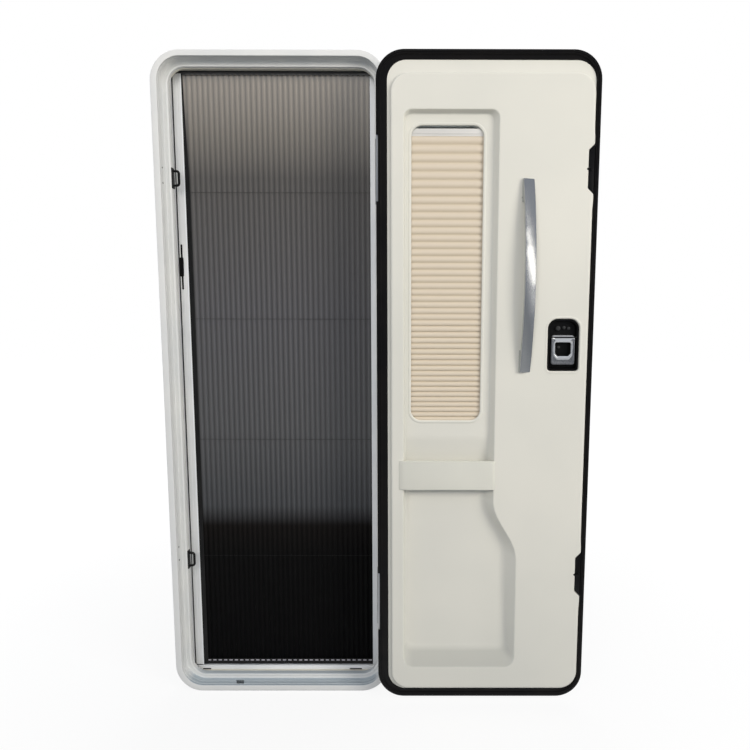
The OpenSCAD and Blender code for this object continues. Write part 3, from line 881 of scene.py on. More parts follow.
class Recipe:
    """A Geometry Nodes tree with named inputs, run once on a carrier mesh."""

    def __init__(self, name: str) -> None:
        """Starts a tree with geometry in and out.

        Args:
            name: The tree's name.
        """
        self.tree = bpy.data.node_groups.new(name, "GeometryNodeTree")
        self.tree.interface.new_socket("Geometry", in_out="INPUT", socket_type="NodeSocketGeometry")
        self.tree.interface.new_socket(
            "Geometry", in_out="OUTPUT", socket_type="NodeSocketGeometry"
        )
        self.source = self.tree.nodes.new("NodeGroupInput")
        self.sink = self.tree.nodes.new("NodeGroupOutput")
        self.values: dict[str, object] = {}

    def size(self, name: str, value: float, kind: str = "NodeSocketFloat") -> NodeSocket:
        """Adds a named input and remembers its value.

        Args:
            name: The input's name.
            value: Its value for this piece.
            kind: The socket's type.

        Returns:
            The input's socket within the tree.
        """
        item = self.tree.interface.new_socket(name, in_out="INPUT", socket_type=kind)
        self.values[item.identifier] = value
        return self.source.outputs[name]

    def add(
        self,
        kind: str,
        settings: dict[str, object] | None = None,
        inputs: dict[str | int, object] | None = None,
    ) -> Node:
        """Adds a node to the tree."""
        return add_node(self.tree, kind, settings, inputs)

    def math(self, operation: str, first: object, second: object = 0.0) -> NodeSocket:
        """Adds a sum, product or other operation on two numbers."""
        return combine(self.tree, operation, first, second)

    def vector(self, **parts: object) -> NodeSocket:
        """Joins numbers for X, Y and Z into a vector."""
        return self.add("ShaderNodeCombineXYZ", inputs=parts).outputs["Vector"]

    def position(self) -> Mapping[str, NodeSocket]:
        """Gives the sockets named X, Y and Z of each point's place."""
        return separate(self.tree, self.add("GeometryNodeInputPosition").outputs["Position"])

    def block(self, size: Point3) -> NodeSocket:
        """Makes a block of a size in millimetres."""
        inputs = {"Size": tuple(c * MM for c in size)}
        return self.add("GeometryNodeMeshCube", inputs=inputs).outputs["Mesh"]

    def row(self, count: NodeSocket, start: object, step: NodeSocket) -> NodeSocket:
        """Lays points in a straight row."""
        inputs = {"Count": count, "Start Location": start, "Offset": step}
        return self.add("GeometryNodeMeshLine", inputs=inputs).outputs["Mesh"]

    def grid(self, size: tuple[object, object], points: tuple[int, int]) -> NodeSocket:
        """Lays a flat grid with so many points across and down."""
        inputs = {"Size X": size[0], "Size Y": size[1],
                  "Vertices X": points[0], "Vertices Y": points[1]}
        return self.add("GeometryNodeMeshGrid", inputs=inputs).outputs["Mesh"]

    def folded(self, grid: NodeSocket, fold: NodeSocket, spot: NodeSocket) -> NodeSocket:
        """Marks how far each of a grid's points lies on an outer fold, and moves the point."""
        settings = {"data_type": "FLOAT", "domain": "POINT"}
        inputs = {"Geometry": grid, "Name": FOLD, "Value": fold}
        marked = self.add("GeometryNodeStoreNamedAttribute", settings, inputs)
        inputs = {"Geometry": marked.outputs["Geometry"], "Position": spot}
        return self.add("GeometryNodeSetPosition", inputs=inputs).outputs["Geometry"]

    def moved(self, geometry: NodeSocket, **change: object) -> NodeSocket:
        """Moves or scales a geometry."""
        inputs = {"Geometry": geometry, **change}
        return self.add("GeometryNodeTransform", inputs=inputs).outputs["Geometry"]

    def on_points(
        self, points: NodeSocket, instance: NodeSocket, turn: Point3 = (0.0, 0.0, 0.0)
    ) -> NodeSocket:
        """Sets a copy of a mesh, turned in radians, on each point."""
        inputs = {"Points": points, "Instance": instance, "Rotation": turn}
        return self.add("GeometryNodeInstanceOnPoints", inputs=inputs).outputs["Instances"]

    def close(self, geometry: NodeSocket, finish: Finish) -> None:
        """Ends the tree with real meshes and their material."""
        real = self.add("GeometryNodeRealizeInstances", inputs={"Geometry": geometry})
        dressed = self.add(
            "GeometryNodeSetMaterial",
            inputs={"Geometry": real.outputs["Geometry"], "Material": finish.build()},
        )
        self.tree.links.new(dressed.outputs["Geometry"], self.sink.inputs["Geometry"])

    def run(self, name: str, points: Sequence[Point3] = ((0.0, 0.0, 0.0),)) -> Object:
        """Runs the tree and keeps its result as a plain mesh.

        Args:
            name: The new object's name.
            points: Places in millimetres that the tree starts from.

        Returns:
            The new object.
        """
        data = bpy.data.meshes.new(name)
        data.from_pydata([tuple(c * MM for c in p) for p in points], [], [])
        obj = stand(name, data)
        modifier = obj.modifiers.new("recipe", "NODES")
        modifier.node_group = self.tree
        for identifier, value in self.values.items():
            modifier[identifier] = value
        return bake(obj)


@dataclass(frozen=True)
class ScrewSet:
    """Pan-head screws with a cross recess, placed by Geometry Nodes.

    Attributes:
        name: The set's name.
        body: The body that they move with.
        places: The heads' undersides.
        facing: The turn, in degrees about x, y and z, that takes +Z to where the heads look.
        head: Head diameter.
        rise: Head height.
    """

    name: str
    body: Body
    places: tuple[Point3, ...]
    facing: Point3
    head: float = 7.0
    rise: float = 2.2

    def build(self) -> Object:
        """Makes the screws."""
        recipe = Recipe(f"{self.name}_recipe")
        head = recipe.size("Head diameter", self.head * MM)
        rise = recipe.size("Head height", self.rise * MM)
        size = {"Segments": 20, "Rings": 12, "Radius": 1.0}
        ball = recipe.add("GeometryNodeMeshUVSphere", inputs=size).outputs["Mesh"]
        half = recipe.math("MULTIPLY", head, 0.5)
        dome = recipe.moved(ball, Scale=recipe.vector(X=half, Y=half, Z=rise))
        recess = recipe.add(
            "GeometryNodeMeshBoolean", {"operation": "DIFFERENCE"}, {"Mesh 1": dome}
        )
        long_side = recipe.math("MULTIPLY", head, 0.55)
        short_side = recipe.math("MULTIPLY", head, 0.13)
        for x, y in ((long_side, short_side), (short_side, long_side)):
            size = {"Size": recipe.vector(X=x, Y=y, Z=rise)}
            blade = recipe.add("GeometryNodeMeshCube", inputs=size).outputs["Mesh"]
            raised = recipe.moved(blade, Translation=recipe.vector(Z=rise))
            recipe.tree.links.new(raised, recess.inputs["Mesh 2"])
        turn = tuple(math.radians(a) for a in self.facing)
        points = recipe.source.outputs["Geometry"]
        recipe.close(recipe.on_points(points, recess.outputs["Mesh"], turn), SCREW_STEEL)
        obj = smooth(recipe.run(self.name, self.places), 40.0)
        return dress(obj, SCREW_STEEL, self.body)


def joint_range(name: str) -> tuple[float, float]:
    """Gives a joint's lowest and highest place in metres."""
    return next(j for j in FRAME["joints"] if j["name"] == name)["range_m"]


# Leaf


@dataclass(frozen=True)
class LeafSpace:
    """The leaf's own coordinates when it is opened flat, and its outline.

    Attributes:
        hinge_x: Where its hinge edge lies along X.
        turn_y: Y of a point at depth 0, which the turn about the pins has moved.
        foot: Lowest z.
        head: Highest z.
        width: Distance from the hinge edge to the lock edge.
        radius: Corner radius.
    """

    hinge_x: float
    turn_y: float
    foot: float
    head: float
    width: float
    radius: float = 74.0

    @classmethod
    def from_frame(cls, proud: float = 9.0) -> LeafSpace:
        """Reads the leaf's place from its outer skin, which stands proud of the wall when shut."""
        low, high = ([c / MM for c in corner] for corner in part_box("outer_skin"))
        return cls(low[0], high[1] - proud, low[2], high[2], high[0] - low[0])

    def place(self, u: float, y: float, z: float) -> Point3:
        """Turns leaf coordinates into the part's frame."""
        return self.hinge_x + u, self.turn_y - y, z

    def inset(
        self, hinge: float, lock: float, head: float, foot: float, radius: float
    ) -> list[Corner]:
        """Gives the corners of the leaf's outline with an inset for each edge."""
        return box_corners(
            (hinge, self.foot + foot), (self.width - lock, self.head - head), [radius] * 4
        )


@dataclass(frozen=True)
class InnerPanel:
    """The cream panel: a rim, a raised plateau, the window's recess and the recess below it.

    Attributes:
        leaf: The leaf that carries it.
        rim: Insets of its edge at the hinge side, lock side, head and foot.
        rim_radius: Corner radius of its edge.
        plateau: Insets of the raised face, in the same order.
        plateau_radius: Corner radius of the raised face.
        rim_back: Depth of the rim's back.
        rim_face: Depth of the rim's face.
        face: Depth of the raised face.
        crown: Width over which the raised face rounds off to its edge.
        wall: Thickness of the moulding.
        soft_wall: How much further the bin's right wall slopes than the wall above it.
    """

    leaf: LeafSpace
    rim: tuple[float, float, float, float] = (29.3, 14.3, 25.3, 22.3)
    rim_radius: float = 50.0
    plateau: tuple[float, float, float, float] = (37.0, 15.0, 57.0, 26.0)
    plateau_radius: float = 50.0
    rim_back: float = 12.0
    rim_face: float = 15.0
    face: float = 24.0
    crown: float = 6.5
    wall: float = 2.4
    soft_wall: float = 16.0
    recess_left: float = 73.0
    recess_right: float = 322.0
    recess_head: float = 1641.0
    recess_radius: float = 20.0
    bin_right: float = 389.0
    bin_foot: float = 108.0
    bin_radius: float = 28.0
    bend: tuple[float, float] = (425.0, 600.0)
    window: tuple[float, float, float, float] = (93.0, 823.0, 283.0, 1606.0)
    window_radius: float = 28.0
    lock: tuple[float, float, float, float] = (461.0, 961.0, 547.0, 1103.0)
    lock_radii: tuple[float, float] = (10.0, 27.0)
    latches: tuple[float, float] = (385.0, 1492.0)
    latch_half: float = 63.8
    latch_depth: float = 15.0
    floor_line: tuple[Point2, ...] = (
        (0.0, -1.0), (465.0, -1.5), (640.0, -1.0), (716.0, -2.0), (774.0, 8.0), (2000.0, 8.0),
    )

    def floor(self, _u: float, z: float) -> float:
        """Gives the recess floor's depth at a height, with its creases rounded."""
        reach = 3.0
        samples = (-1.0, -0.6, -0.2, 0.2, 0.6, 1.0)
        return sum(self.creased_floor(z + s * reach) for s in samples) / len(samples)

    def creased_floor(self, z: float) -> float:
        """Gives the floor's depth along its straight lines."""
        for (z0, y0), (z1, y1) in zip(self.floor_line, self.floor_line[1:]):
            if z <= z1:
                return y0 + (y1 - y0) * (z - z0) / (z1 - z0)
        return self.floor_line[-1][1]

    def recess_outline(self) -> Loop:
        """Gives the recess's edge on the raised face, with its S-shaped swing above the bin."""
        steps = 20
        low, high = self.bend
        swing = [
            (
                self.bin_right
                - (self.bin_right - self.recess_right) * (1 - math.cos(math.pi * i / steps)) / 2,
                low + (high - low) * i / steps,
                0.0,
            )
            for i in range(steps + 1)
        ]
        straight = [(self.recess_right, z, 0.0) for z in (712.0, 778.0, 1100.0, 1400.0)]
        left = [(self.recess_left, z, 0.0) for z in (1400.0, 1100.0, 778.0, 712.0, 465.0, 300.0)]
        right = [(self.bin_right, 300.0, 0.0)]
        return rounded_loop(
            [
                (self.recess_left, self.bin_foot, self.bin_radius),
                (self.bin_right, self.bin_foot, self.bin_radius),
                *right,
                *swing,
                *straight,
                (self.recess_right, self.recess_head, self.recess_radius),
                (self.recess_left, self.recess_head, self.recess_radius),
                *left,
            ]
        )

    def floor_point(self, u: float, z: float) -> Point2:
        """Moves a point of the recess's edge to the foot of its sloping wall."""
        still_z, foot_draft, head_draft = 736.0, 0.07, 5.0
        left_draft, narrowing = 3.0, 0.94
        drop = head_draft if z > self.window[1] else 0.0
        low = (still_z - z) * foot_draft if z < still_z else 0.0
        right = eased(u, self.recess_left + 60.0, self.recess_right)
        soft = self.soft_wall * right * (1 - eased(z, 600.0, 700.0)) * eased(z, 110.0, 260.0)
        along = self.recess_left + left_draft + (u - self.recess_left) * narrowing
        return along - soft, z + low - drop

    def plateau_outline(self) -> Loop:
        """Gives the raised face's edge, with a slanted notch for each latch."""
        hinge, lock, head, foot = self.plateau
        u0, u1 = hinge, self.leaf.width - lock
        z0, z1 = self.leaf.foot + foot, self.leaf.head - head
        depth, half = self.latch_depth, self.latch_half
        flat_points = (44.0, 30.0, 16.0, 8.0)
        corners: list[Corner] = [(u0, z0, self.plateau_radius), (u1, z0, self.plateau_radius)]
        for z in self.latches:
            corners += [(u1, z - half - away, 0.0) for away in flat_points]
            corners += [
                (u1, z - half, 7.0), (u1 - depth, z - half + depth, 3.0),
                (u1 - depth, z + half - depth, 3.0), (u1, z + half, 7.0),
            ]
            corners += [(u1, z + half + away, 0.0) for away in reversed(flat_points)]
        corners += [(u1, z1, self.plateau_radius), (u0, z1, self.plateau_radius)]
        return rounded_loop(corners)

    def crown_widths(self, loop: Loop) -> list[float]:
        """Gives the crown's width at each point, narrow in the latch notches."""
        narrow = 2.0
        widths = []
        for u, z in loop:
            near = min(abs(z - latch) for latch in self.latches)
            far = eased(near, self.latch_half + 12, self.latch_half + 44)
            at_lock = u > self.leaf.width - 60
            widths.append(narrow + (self.crown - narrow) * far if at_lock else self.crown)
        return widths

    def raised_edge(self, shell: Shell) -> tuple[list[int], Loop]:
        """Builds the rim, the plateau's wall and its crown.

        Args:
            shell: The mesh being built.

        Returns:
            The ring that bounds the flat face, and its outline.
        """
        hinge, lock, head, foot = self.rim
        rim_loop = rounded_loop(self.leaf.inset(hinge, lock, head, foot, self.rim_radius))
        rim_low = shell.ring(rim_loop, self.rim_back)
        rim_high = shell.ring(rim_loop, self.rim_face)
        outline = self.plateau_outline()
        spread = [
            2.0 - 1.6 * eased(u, self.leaf.width - 45, self.leaf.width - 18) for u, _ in outline
        ]
        toe = offset_loop(outline, [-s for s in spread])
        toe_ring = shell.ring(toe, self.rim_face)
        bend_depth, wall_depth = 15.6, 17.2
        bend_ring = shell.ring(offset_loop(outline, [-s * 0.3 for s in spread]), bend_depth)
        wall_ring = shell.ring(outline, wall_depth)
        shell.skin([rim_low, rim_high])
        shell.fill(rim_high, rim_loop, [(toe_ring, toe)])
        rings = [toe_ring, bend_ring, wall_ring]
        widths = self.crown_widths(outline)
        steps = 7
        rise = [min(w, self.crown) for w in widths]
        for k in range(1, steps + 1):
            angle = math.pi / 2 * k / steps
            loop = offset_loop(outline, [w * (1 - math.cos(angle)) for w in widths])
            depth = [self.face - r + r * math.sin(angle) for r in rise]
            rings.append(shell.ring(loop, depth))
        edge = offset_loop(outline, [w + 1.5 for w in widths])
        rings.append(shell.ring(edge, self.face))
        shell.skin(rings)
        return rings[-1], edge

    def recess_walls(self, shell: Shell) -> tuple[list[int], Loop, list[int], Loop]:
        """Builds the recess's wall, rounded at its edge and more at its foot.

        Args:
            shell: The mesh being built.

        Returns:
            The ring and outline on the raised face, then the ring and outline on the floor.
        """
        edge_radius, steps = 2.6, 6
        top = self.recess_outline()
        foot_radius = [3.5 + 7.5 * (1 - eased(z, 560.0, 700.0)) for _, z in top]
        foot = [self.floor_point(u, z) for u, z in top]
        inward = offset_loop(top, 1.0)
        drops = [self.face - self.floor(*p) for p in foot]
        lengths = []
        for a, b, n, drop in zip(top, foot, inward, drops):
            run = (b[0] - a[0]) * (n[0] - a[0]) + (b[1] - a[1]) * (n[1] - a[1])
            lengths.append(math.hypot(run, drop))
        outer = offset_loop(top, -edge_radius)
        inner = offset_loop(foot, foot_radius)
        far_outer = offset_loop(top, -edge_radius - 1.5)
        far_inner = offset_loop(foot, [r + 2.0 for r in foot_radius])
        rings = [shell.ring(far_outer, self.face)]
        upper, lower = [], []
        walls = zip(top, outer, foot, inner, drops, lengths, foot_radius)
        for a, o, b, n, drop, length, radius in walls:
            edge, base = (*a, self.face), (*b, self.face - drop)
            upper.append(((*o, self.face), edge, between(edge, base, edge_radius / length)))
            share = min(0.75, radius / length)
            lower.append((between(base, edge, share), base, (*n, self.face - drop)))
        for bends in (upper, lower):
            for k in range(steps + 1):
                points = [bend_point(*bend, k / steps) for bend in bends]
                rings.append(shell.ring([p[:2] for p in points], [p[2] for p in points]))
        rings.append(shell.ring(far_inner, [self.floor(*p) for p in far_inner]))
        shell.skin(rings)
        return rings[0], far_outer, rings[-1], far_inner

    def window_lip(self, shell: Shell) -> tuple[list[int], Loop]:
        """Builds the rounded edge of the window's cut-out and returns its ring on the floor."""
        u0, z0, u1, z1 = self.window
        loop = rounded_loop(box_corners((u0, z0), (u1, z1), [self.window_radius] * 4))
        level = self.floor(u0, z1)
        section = [
            (-9.5, 0.0), (-8.0, 0.0), (-7.3, 0.3), (-6.7, 1.0), (-6.0, 1.3), (-4.6, 1.3),
            (-2.6, 1.3), (-1.4, 0.9), (-0.5, 0.0), (0.0, -1.4), (0.0, -2.2),
        ]
        outer = offset_loop(loop, section[0][0])
        rings = shell.section(loop, [(inset, level + rise) for inset, rise in section])
        shell.skin(rings)
        return rings[0], outer

    def lock_edge(self, shell: Shell) -> tuple[list[int], Loop]:
        """Builds the panel's rolled edge round the lock and returns its ring on the face."""
        loop = lock_outline(self.lock, self.lock_radii)
        roll = (
            (-8.0, 0.0), (-6.0, 0.0), (-4.8, 0.5), (-3.4, 0.8), (-1.8, 0.6), (-0.4, -0.4),
            (0.6, -2.0), (1.0, -4.0), (1.0, -8.0),
        )
        outer = offset_loop(loop, roll[0][0])
        rings = shell.section(loop, [(inset, self.face + rise) for inset, rise in roll])
        shell.skin(rings)
        return rings[0], outer

    def build(self) -> Object:
        """Builds the panel, gives it its wall and puts it in the solid's place."""
        shell = Shell(self.leaf.place)
        face_ring, face_loop = self.raised_edge(shell)
        edge_ring, edge_loop, floor_ring, floor_loop = self.recess_walls(shell)
        lip_ring, lip_loop = self.window_lip(shell)
        lock_ring, lock_loop = self.lock_edge(shell)
        shell.fill(face_ring, face_loop, [(edge_ring, edge_loop), (lock_ring, lock_loop)])
        pitch = 9.0
        grid = [
            (self.recess_left + pitch * i, self.bin_foot + pitch * k)
            for i in range(int((self.bin_right - self.recess_left) / pitch))
            for k in range(int((self.window[1] - self.bin_foot) / pitch))
        ]
        shell.fill(floor_ring, floor_loop, [(lip_ring, lip_loop)], grid, self.floor)
        obj = shell.mesh("cream_inner_panel", towards=(0.0, -1.0, 0.0))
        wall = obj.modifiers.new("wall", "SOLIDIFY")
        wall.thickness = self.wall * MM
        wall.offset = -1.0
        bake(obj)
        smooth(obj, 40.0)
        return dress(obj, PANEL_CREAM, Body.LEAF, ("inner_panel",))


def lock_outline(box: tuple[float, float, float, float], radii: tuple[float, float]) -> Loop:
    """Gives the lock's outline: wide rounding above, tighter rounding below.

    Args:
        box: Lowest u and z, then highest u and z.
        radii: Radius of the lower and of the upper corners.

    Returns:
        The outline's points.
    """
    u0, z0, u1, z1 = box
    return rounded_loop(box_corners((u0, z0), (u1, z1), [radii[0], radii[0], radii[1], radii[1]]))


@dataclass(frozen=True)
class DoorSeal:
    """The black rubber seal round the leaf: a ribbed lobe and a web that meets the panel.

    Attributes:
        leaf: The leaf that carries it.
        inner: Insets of its inner edge at the hinge side, lock side, head and foot.
        inner_radius: Corner radius of its inner edge.
        lobe: Width of the lobe, even all round.
        back: Depth of its back.
        hinges: Heights of the hinges whose straps it leaves free.
        strap_half: Half the length of a strap and its margin.
        strap_width: Width of a strap and its margin.
    """

    leaf: LeafSpace
    inner: tuple[float, float, float, float] = (29.0, 14.0, 25.0, 22.0)
    inner_radius: float = 50.0
    lobe: float = 13.0
    back: float = 12.0
    hinges: tuple[float, float] = (301.0, 1495.0)
    strap_half: float = 85.3
    strap_width: float = 5.6

    def outline(self, corners: list[Corner]) -> Loop:
        """Adds to an outline's hinge side the points where the straps begin and end."""
        u = corners[0][0]
        stops = []
        for z in sorted(self.hinges, reverse=True):
            for end in (z + self.strap_half, z - self.strap_half):
                sign = 1 if end > z else -1
                stops += [(u, end + 0.3 * sign, 0.0), (u, end, 0.0)][:: sign]
        return rounded_loop([*corners, *stops], 14)

    def beside_strap(self, u: float, z: float) -> bool:
        """Tells whether a point of the hinge side lies beside a strap."""
        near = any(abs(z - hinge) <= self.strap_half + 0.01 for hinge in self.hinges)
        return u < self.inner[0] + 1 and near

    def build(self) -> Object:
        """Sweeps the ribbed section round the leaf."""
        leaf, radius = self.leaf, self.leaf.radius
        section = [
            (0.0, 12.0), (0.0, 17.4), (0.5, 18.8), (1.4, 19.8), (2.6, 20.3), (3.4, 20.0),
            (3.9, 19.0), (4.5, 20.2), (5.6, 20.9), (7.0, 21.0), (8.0, 20.5), (8.6, 19.0),
            (9.3, 20.2), (10.4, 20.6), (11.4, 20.3), (12.3, 19.3), (12.8, 18.0), (13.0, 17.2),
        ]
        shell = Shell(leaf.place)
        rings = []
        for s, y in section:
            loop = self.outline(leaf.inset(s, s, s, s, radius - s))
            if s < self.strap_width:
                loop = [
                    (self.strap_width, z) if self.beside_strap(u, z) and u < self.strap_width
                    else (u, z)
                    for u, z in loop
                ]
            rings.append(shell.ring(loop, y))
        start = self.outline(leaf.inset(self.lobe, self.lobe, self.lobe, self.lobe, radius - 13))
        hinge, lock, head, foot = self.inner
        end = self.outline(leaf.inset(hinge, lock, head, foot, self.inner_radius))
        web = [(0.08, 16.4), (0.25, 16.7), (0.5, 17.0), (0.8, 16.9), (0.94, 16.6), (1.0, 15.8)]
        rings += [shell.ring(mixed_loop(start, end, share), y) for share, y in web]
        rings.append(shell.ring(end, self.back))
        shell.skin(rings, closed=True)
        obj = smooth(shell.mesh("rubber_door_seal"), 60.0)
        return dress(obj, SEAL_RUBBER, Body.LEAF, ("door_seal",))


@dataclass(frozen=True)
class LockBezel:
    """The lock's black surround: a glossy ring, a step and a deep well with its workings.

    Attributes:
        leaf: The leaf that carries it.
        box: Its place in the panel.
        radii: Lower and upper corner radius.
    """

    leaf: LeafSpace
    box: tuple[float, float, float, float] = (461.0, 961.0, 547.0, 1103.0)
    radii: tuple[float, float] = (10.0, 27.0)

    def build(self) -> Object:
        """Builds the surround as one closed shell."""
        shell = Shell(self.leaf.place)
        loop = lock_outline(self.box, self.radii)
        section = [
            (1.3, 2.0), (1.3, 21.0), (1.4, 22.4), (1.9, 23.2), (2.7, 23.5), (3.5, 23.3),
            (4.1, 22.6), (4.4, 21.6), (4.9, 21.2), (5.7, 21.1), (6.3, 20.7), (6.6, 19.6),
            (7.0, 12.0), (7.4, 7.0), (8.2, 5.6), (9.6, 5.0), (11.0, 5.0),
        ]
        shell.capped(shell.section(loop, section))
        obj = smooth(shell.mesh("lock_surround"), 35.0)
        return dress(obj, BLACK_MOULDING, Body.LEAF, ("lock_bezel",))

    def workings(self) -> Object:
        """Builds the barrel and the small bosses at the head of the well."""
        shell = Shell(self.leaf.place)
        for u, z, radius, top in (
            (492.0, 1077.0, 6.5, 13.0), (509.0, 1079.0, 4.5, 10.0), (522.0, 1077.0, 4.5, 9.0),
            (496.0, 1026.0, 4.0, 9.0),
        ):
            steps = ((0.0, 5.0), (0.0, top - 1.5), (0.5, top - 0.5), (1.5, top))
            shell.capped(shell.section(circle_loop((u, z), radius, 24), steps))
        obj = smooth(shell.mesh("lock_workings"), 40.0)
        return dress(obj, LOCK_WORKINGS, Body.LEAF)


@dataclass(frozen=True)
class LatchSnib:
    """The small black stop that shows at the middle of a latch.

    Attributes:
        leaf: The leaf that carries it.
        z: Its height.
        inset: Its distance from the lock edge.
        radius: Its radius.
    """

    leaf: LeafSpace
    z: float
    inset: float = 31.0
    radius: float = 3.0

    def build(self) -> Object:
        """Builds the stop as a short rounded pin."""
        shell = Shell(self.leaf.place)
        circle = circle_loop((self.leaf.width - self.inset, self.z), self.radius, 20)
        shell.capped(shell.section(circle, ((0.0, 20.0), (0.0, 24.2), (0.3, 24.8), (1.0, 25.2))))
        obj = smooth(shell.mesh(f"latch_snib_{self.z:.0f}"), 40.0)
        return dress(obj, BLACK_MOULDING, Body.LEAF)


@dataclass(frozen=True)
class LockPaddle:
    """The cast paddle that opens the lock: a dished plate with a finger hole, on its axle.

    Attributes:
        leaf: The leaf that carries it.
        box: Its plate.
        hole: Its finger hole, whose lower corners are cut at a slant.
        back: Depth of its back.
        axle_z: Height of the axle.
        polished: Height of the polished head above the hole, which takes the chrome and its painted
            highlight.
    """

    leaf: LeafSpace
    box: tuple[float, float, float, float] = (472.0, 979.0, 536.0, 1059.0)
    hole: tuple[float, float, float, float] = (483.0, 1002.0, 525.0, 1039.0)
    back: float = 19.0
    axle_z: float = 1053.0
    polished: float = 13.0

    def hole_outline(self) -> Loop:
        """Gives the finger hole's outline."""
        u0, z0, u1, z1 = self.hole
        slant = 7.0
        return rounded_loop(
            [
                (u0 + slant, z0, 2.5), (u1 - slant, z0, 2.5), (u1, z0 + slant, 2.5),
                (u1, z1, 4.0), (u0, z1, 4.0), (u0, z0 + slant, 2.5),
            ],
            5,
        )

    def roll(self, z: float) -> float:
        """Gives how far the plate's polished head falls back at a height."""
        return 5.0 * max(0.0, (z - self.box[3] + self.polished) / self.polished) ** 2

    def deeper_below(self, loop: Loop, reach: float) -> Loop:
        """Widens the hole's bevel below the hole, where the finger rests."""
        _, low, _, high = self.hole
        return [(u, z - 0.9 * reach * (1 - eased(z, low - 6, (low + high) / 2))) for u, z in loop]

    def build(self) -> Object:
        """Builds the plate, with the chrome's painted highlight on its head and round its hole."""
        shell = Shell(self.leaf.place)
        u0, z0, u1, z1 = self.box
        outer = rounded_loop(box_corners((u0, z0), (u1, z1), [7.0, 7.0, 9.0, 9.0]), 8)
        hole = self.hole_outline()
        rim = [
            (2.2, 19.0), (0.6, 19.3), (0.0, 20.2), (0.1, 21.0), (0.7, 22.0), (1.7, 22.7),
            (2.9, 23.0), (3.8, 22.8), (4.6, 22.2), (6.0, 21.8),
        ]
        lip = [(-5.0, 21.8), (-4.2, 22.4), (-3.2, 22.9), (-2.0, 22.6), (-0.8, 21.6), (0.0, 20.2)]
        outer_rings = [
            shell.ring(loop, [y - self.roll(z) for _, z in loop])
            for loop, y in ((offset_loop(outer, s), y) for s, y in rim)
        ]
        hole_rings = [
            shell.ring(self.deeper_below(offset_loop(hole, s), -s), y) for s, y in lip
        ]
        hole_rings += [shell.ring(hole, 19.4), shell.ring(offset_loop(hole, -0.8), self.back)]
        shell.skin(outer_rings)
        # Painted highlight: the hole's lip takes the pale chrome.
        shell.finish = 1
        shell.skin(hole_rings)
        shell.finish = 0
        shell.fill(
            outer_rings[-1], offset_loop(outer, rim[-1][0]),
            [(hole_rings[0], self.deeper_below(offset_loop(hole, lip[0][0]), -lip[0][0]))],
        )
        shell.fill(
            outer_rings[0], offset_loop(outer, rim[0][0]),
            [(hole_rings[-1], offset_loop(hole, -0.8))],
        )
        obj = smooth(shell.mesh("cast_lock_paddle"), 40.0)
        obj.data.materials.append(PADDLE_METAL.build())
        obj.data.materials.append(CHROME_PAINTED_HIGHLIGHT.build())
        # Painted highlight: the head takes the pale chrome.
        for face in obj.data.polygons:
            if face.center.z > (z1 - self.polished) * MM:
                face.material_index = 1
        return dress(obj, PADDLE_METAL, Body.PADDLE, ("lock_paddle",))

    def axle(self) -> Object:
        """Builds the axle that the plate turns on."""
        half, radius, middle, depth = 37.6, 2.0, 504.0, 21.0
        shell = Shell(lambda a, s, b: self.leaf.place(middle + s, depth + a, self.axle_z + b))
        circle = circle_loop((0.0, 0.0), radius, 20)
        ends = ((-half, 0.8), (-half + 0.5, 1.0), (half - 0.5, 1.0), (half, 0.8))
        loops = [[(a * share, b * share) for a, b in circle] for _, share in ends]
        shell.capped([shell.ring(loop, along) for loop, (along, _) in zip(loops, ends)])
        obj = smooth(shell.mesh("paddle_axle"), 40.0)
        return dress(obj, STRIKER_BLACK, Body.PADDLE)


# Frame and fly screen


@dataclass(frozen=True)
class OuterFrame:
    """The frame's visible extrusion: flange, rebate and the nosed seat for the seal.

    Attributes:
        width: Width over the flange.
        foot: Lowest z.
        head: Highest z.
        radius: Corner radius of the flange.
    """

    width: float = 634.0
    foot: float = -9.0
    head: float = 1815.0
    radius: float = 80.0

    def build(self) -> Object:
        """Sweeps the rounded section round the opening."""
        section = rounded_loop(
            [
                (0.0, 0.0, 0.3), (0.0, -4.0, 1.8), (18.0, -4.0, 0.9), (18.0, 0.6, 0.2),
                (17.0, 1.4, 0.3), (17.0, 3.2, 0.3), (18.2, 4.0, 0.3), (18.2, 12.4, 0.2),
                (17.2, 13.2, 0.2), (17.2, 14.6, 0.2), (18.2, 15.4, 0.2), (18.2, 27.5, 1.6),
                (26.4, 27.5, 0.8), (28.0, 26.0, 0.8), (34.0, 26.0, 1.8), (34.0, 40.0, 0.4),
                (32.0, 40.0, 0.4), (32.0, 29.6, 0.4), (18.6, 29.6, 1.0), (16.0, 26.6, 0.6),
                (16.0, 0.0, 0.3),
            ],
            4,
        )
        shell = Shell()
        half = self.width / 2
        rings = []
        for inset, y in section:
            corners = box_corners(
                (-half + inset, self.foot + inset), (half - inset, self.head - 0.88 * inset),
                [self.radius - inset] * 4,
            )
            rings.append(shell.ring(rounded_loop(corners, 20), y))
        shell.skin(rings, closed=True)
        obj = smooth(shell.mesh("coated_frame_extrusion"), 40.0)
        return dress(obj, FRAME_COAT, Body.FRAME, ("outer_frame",))


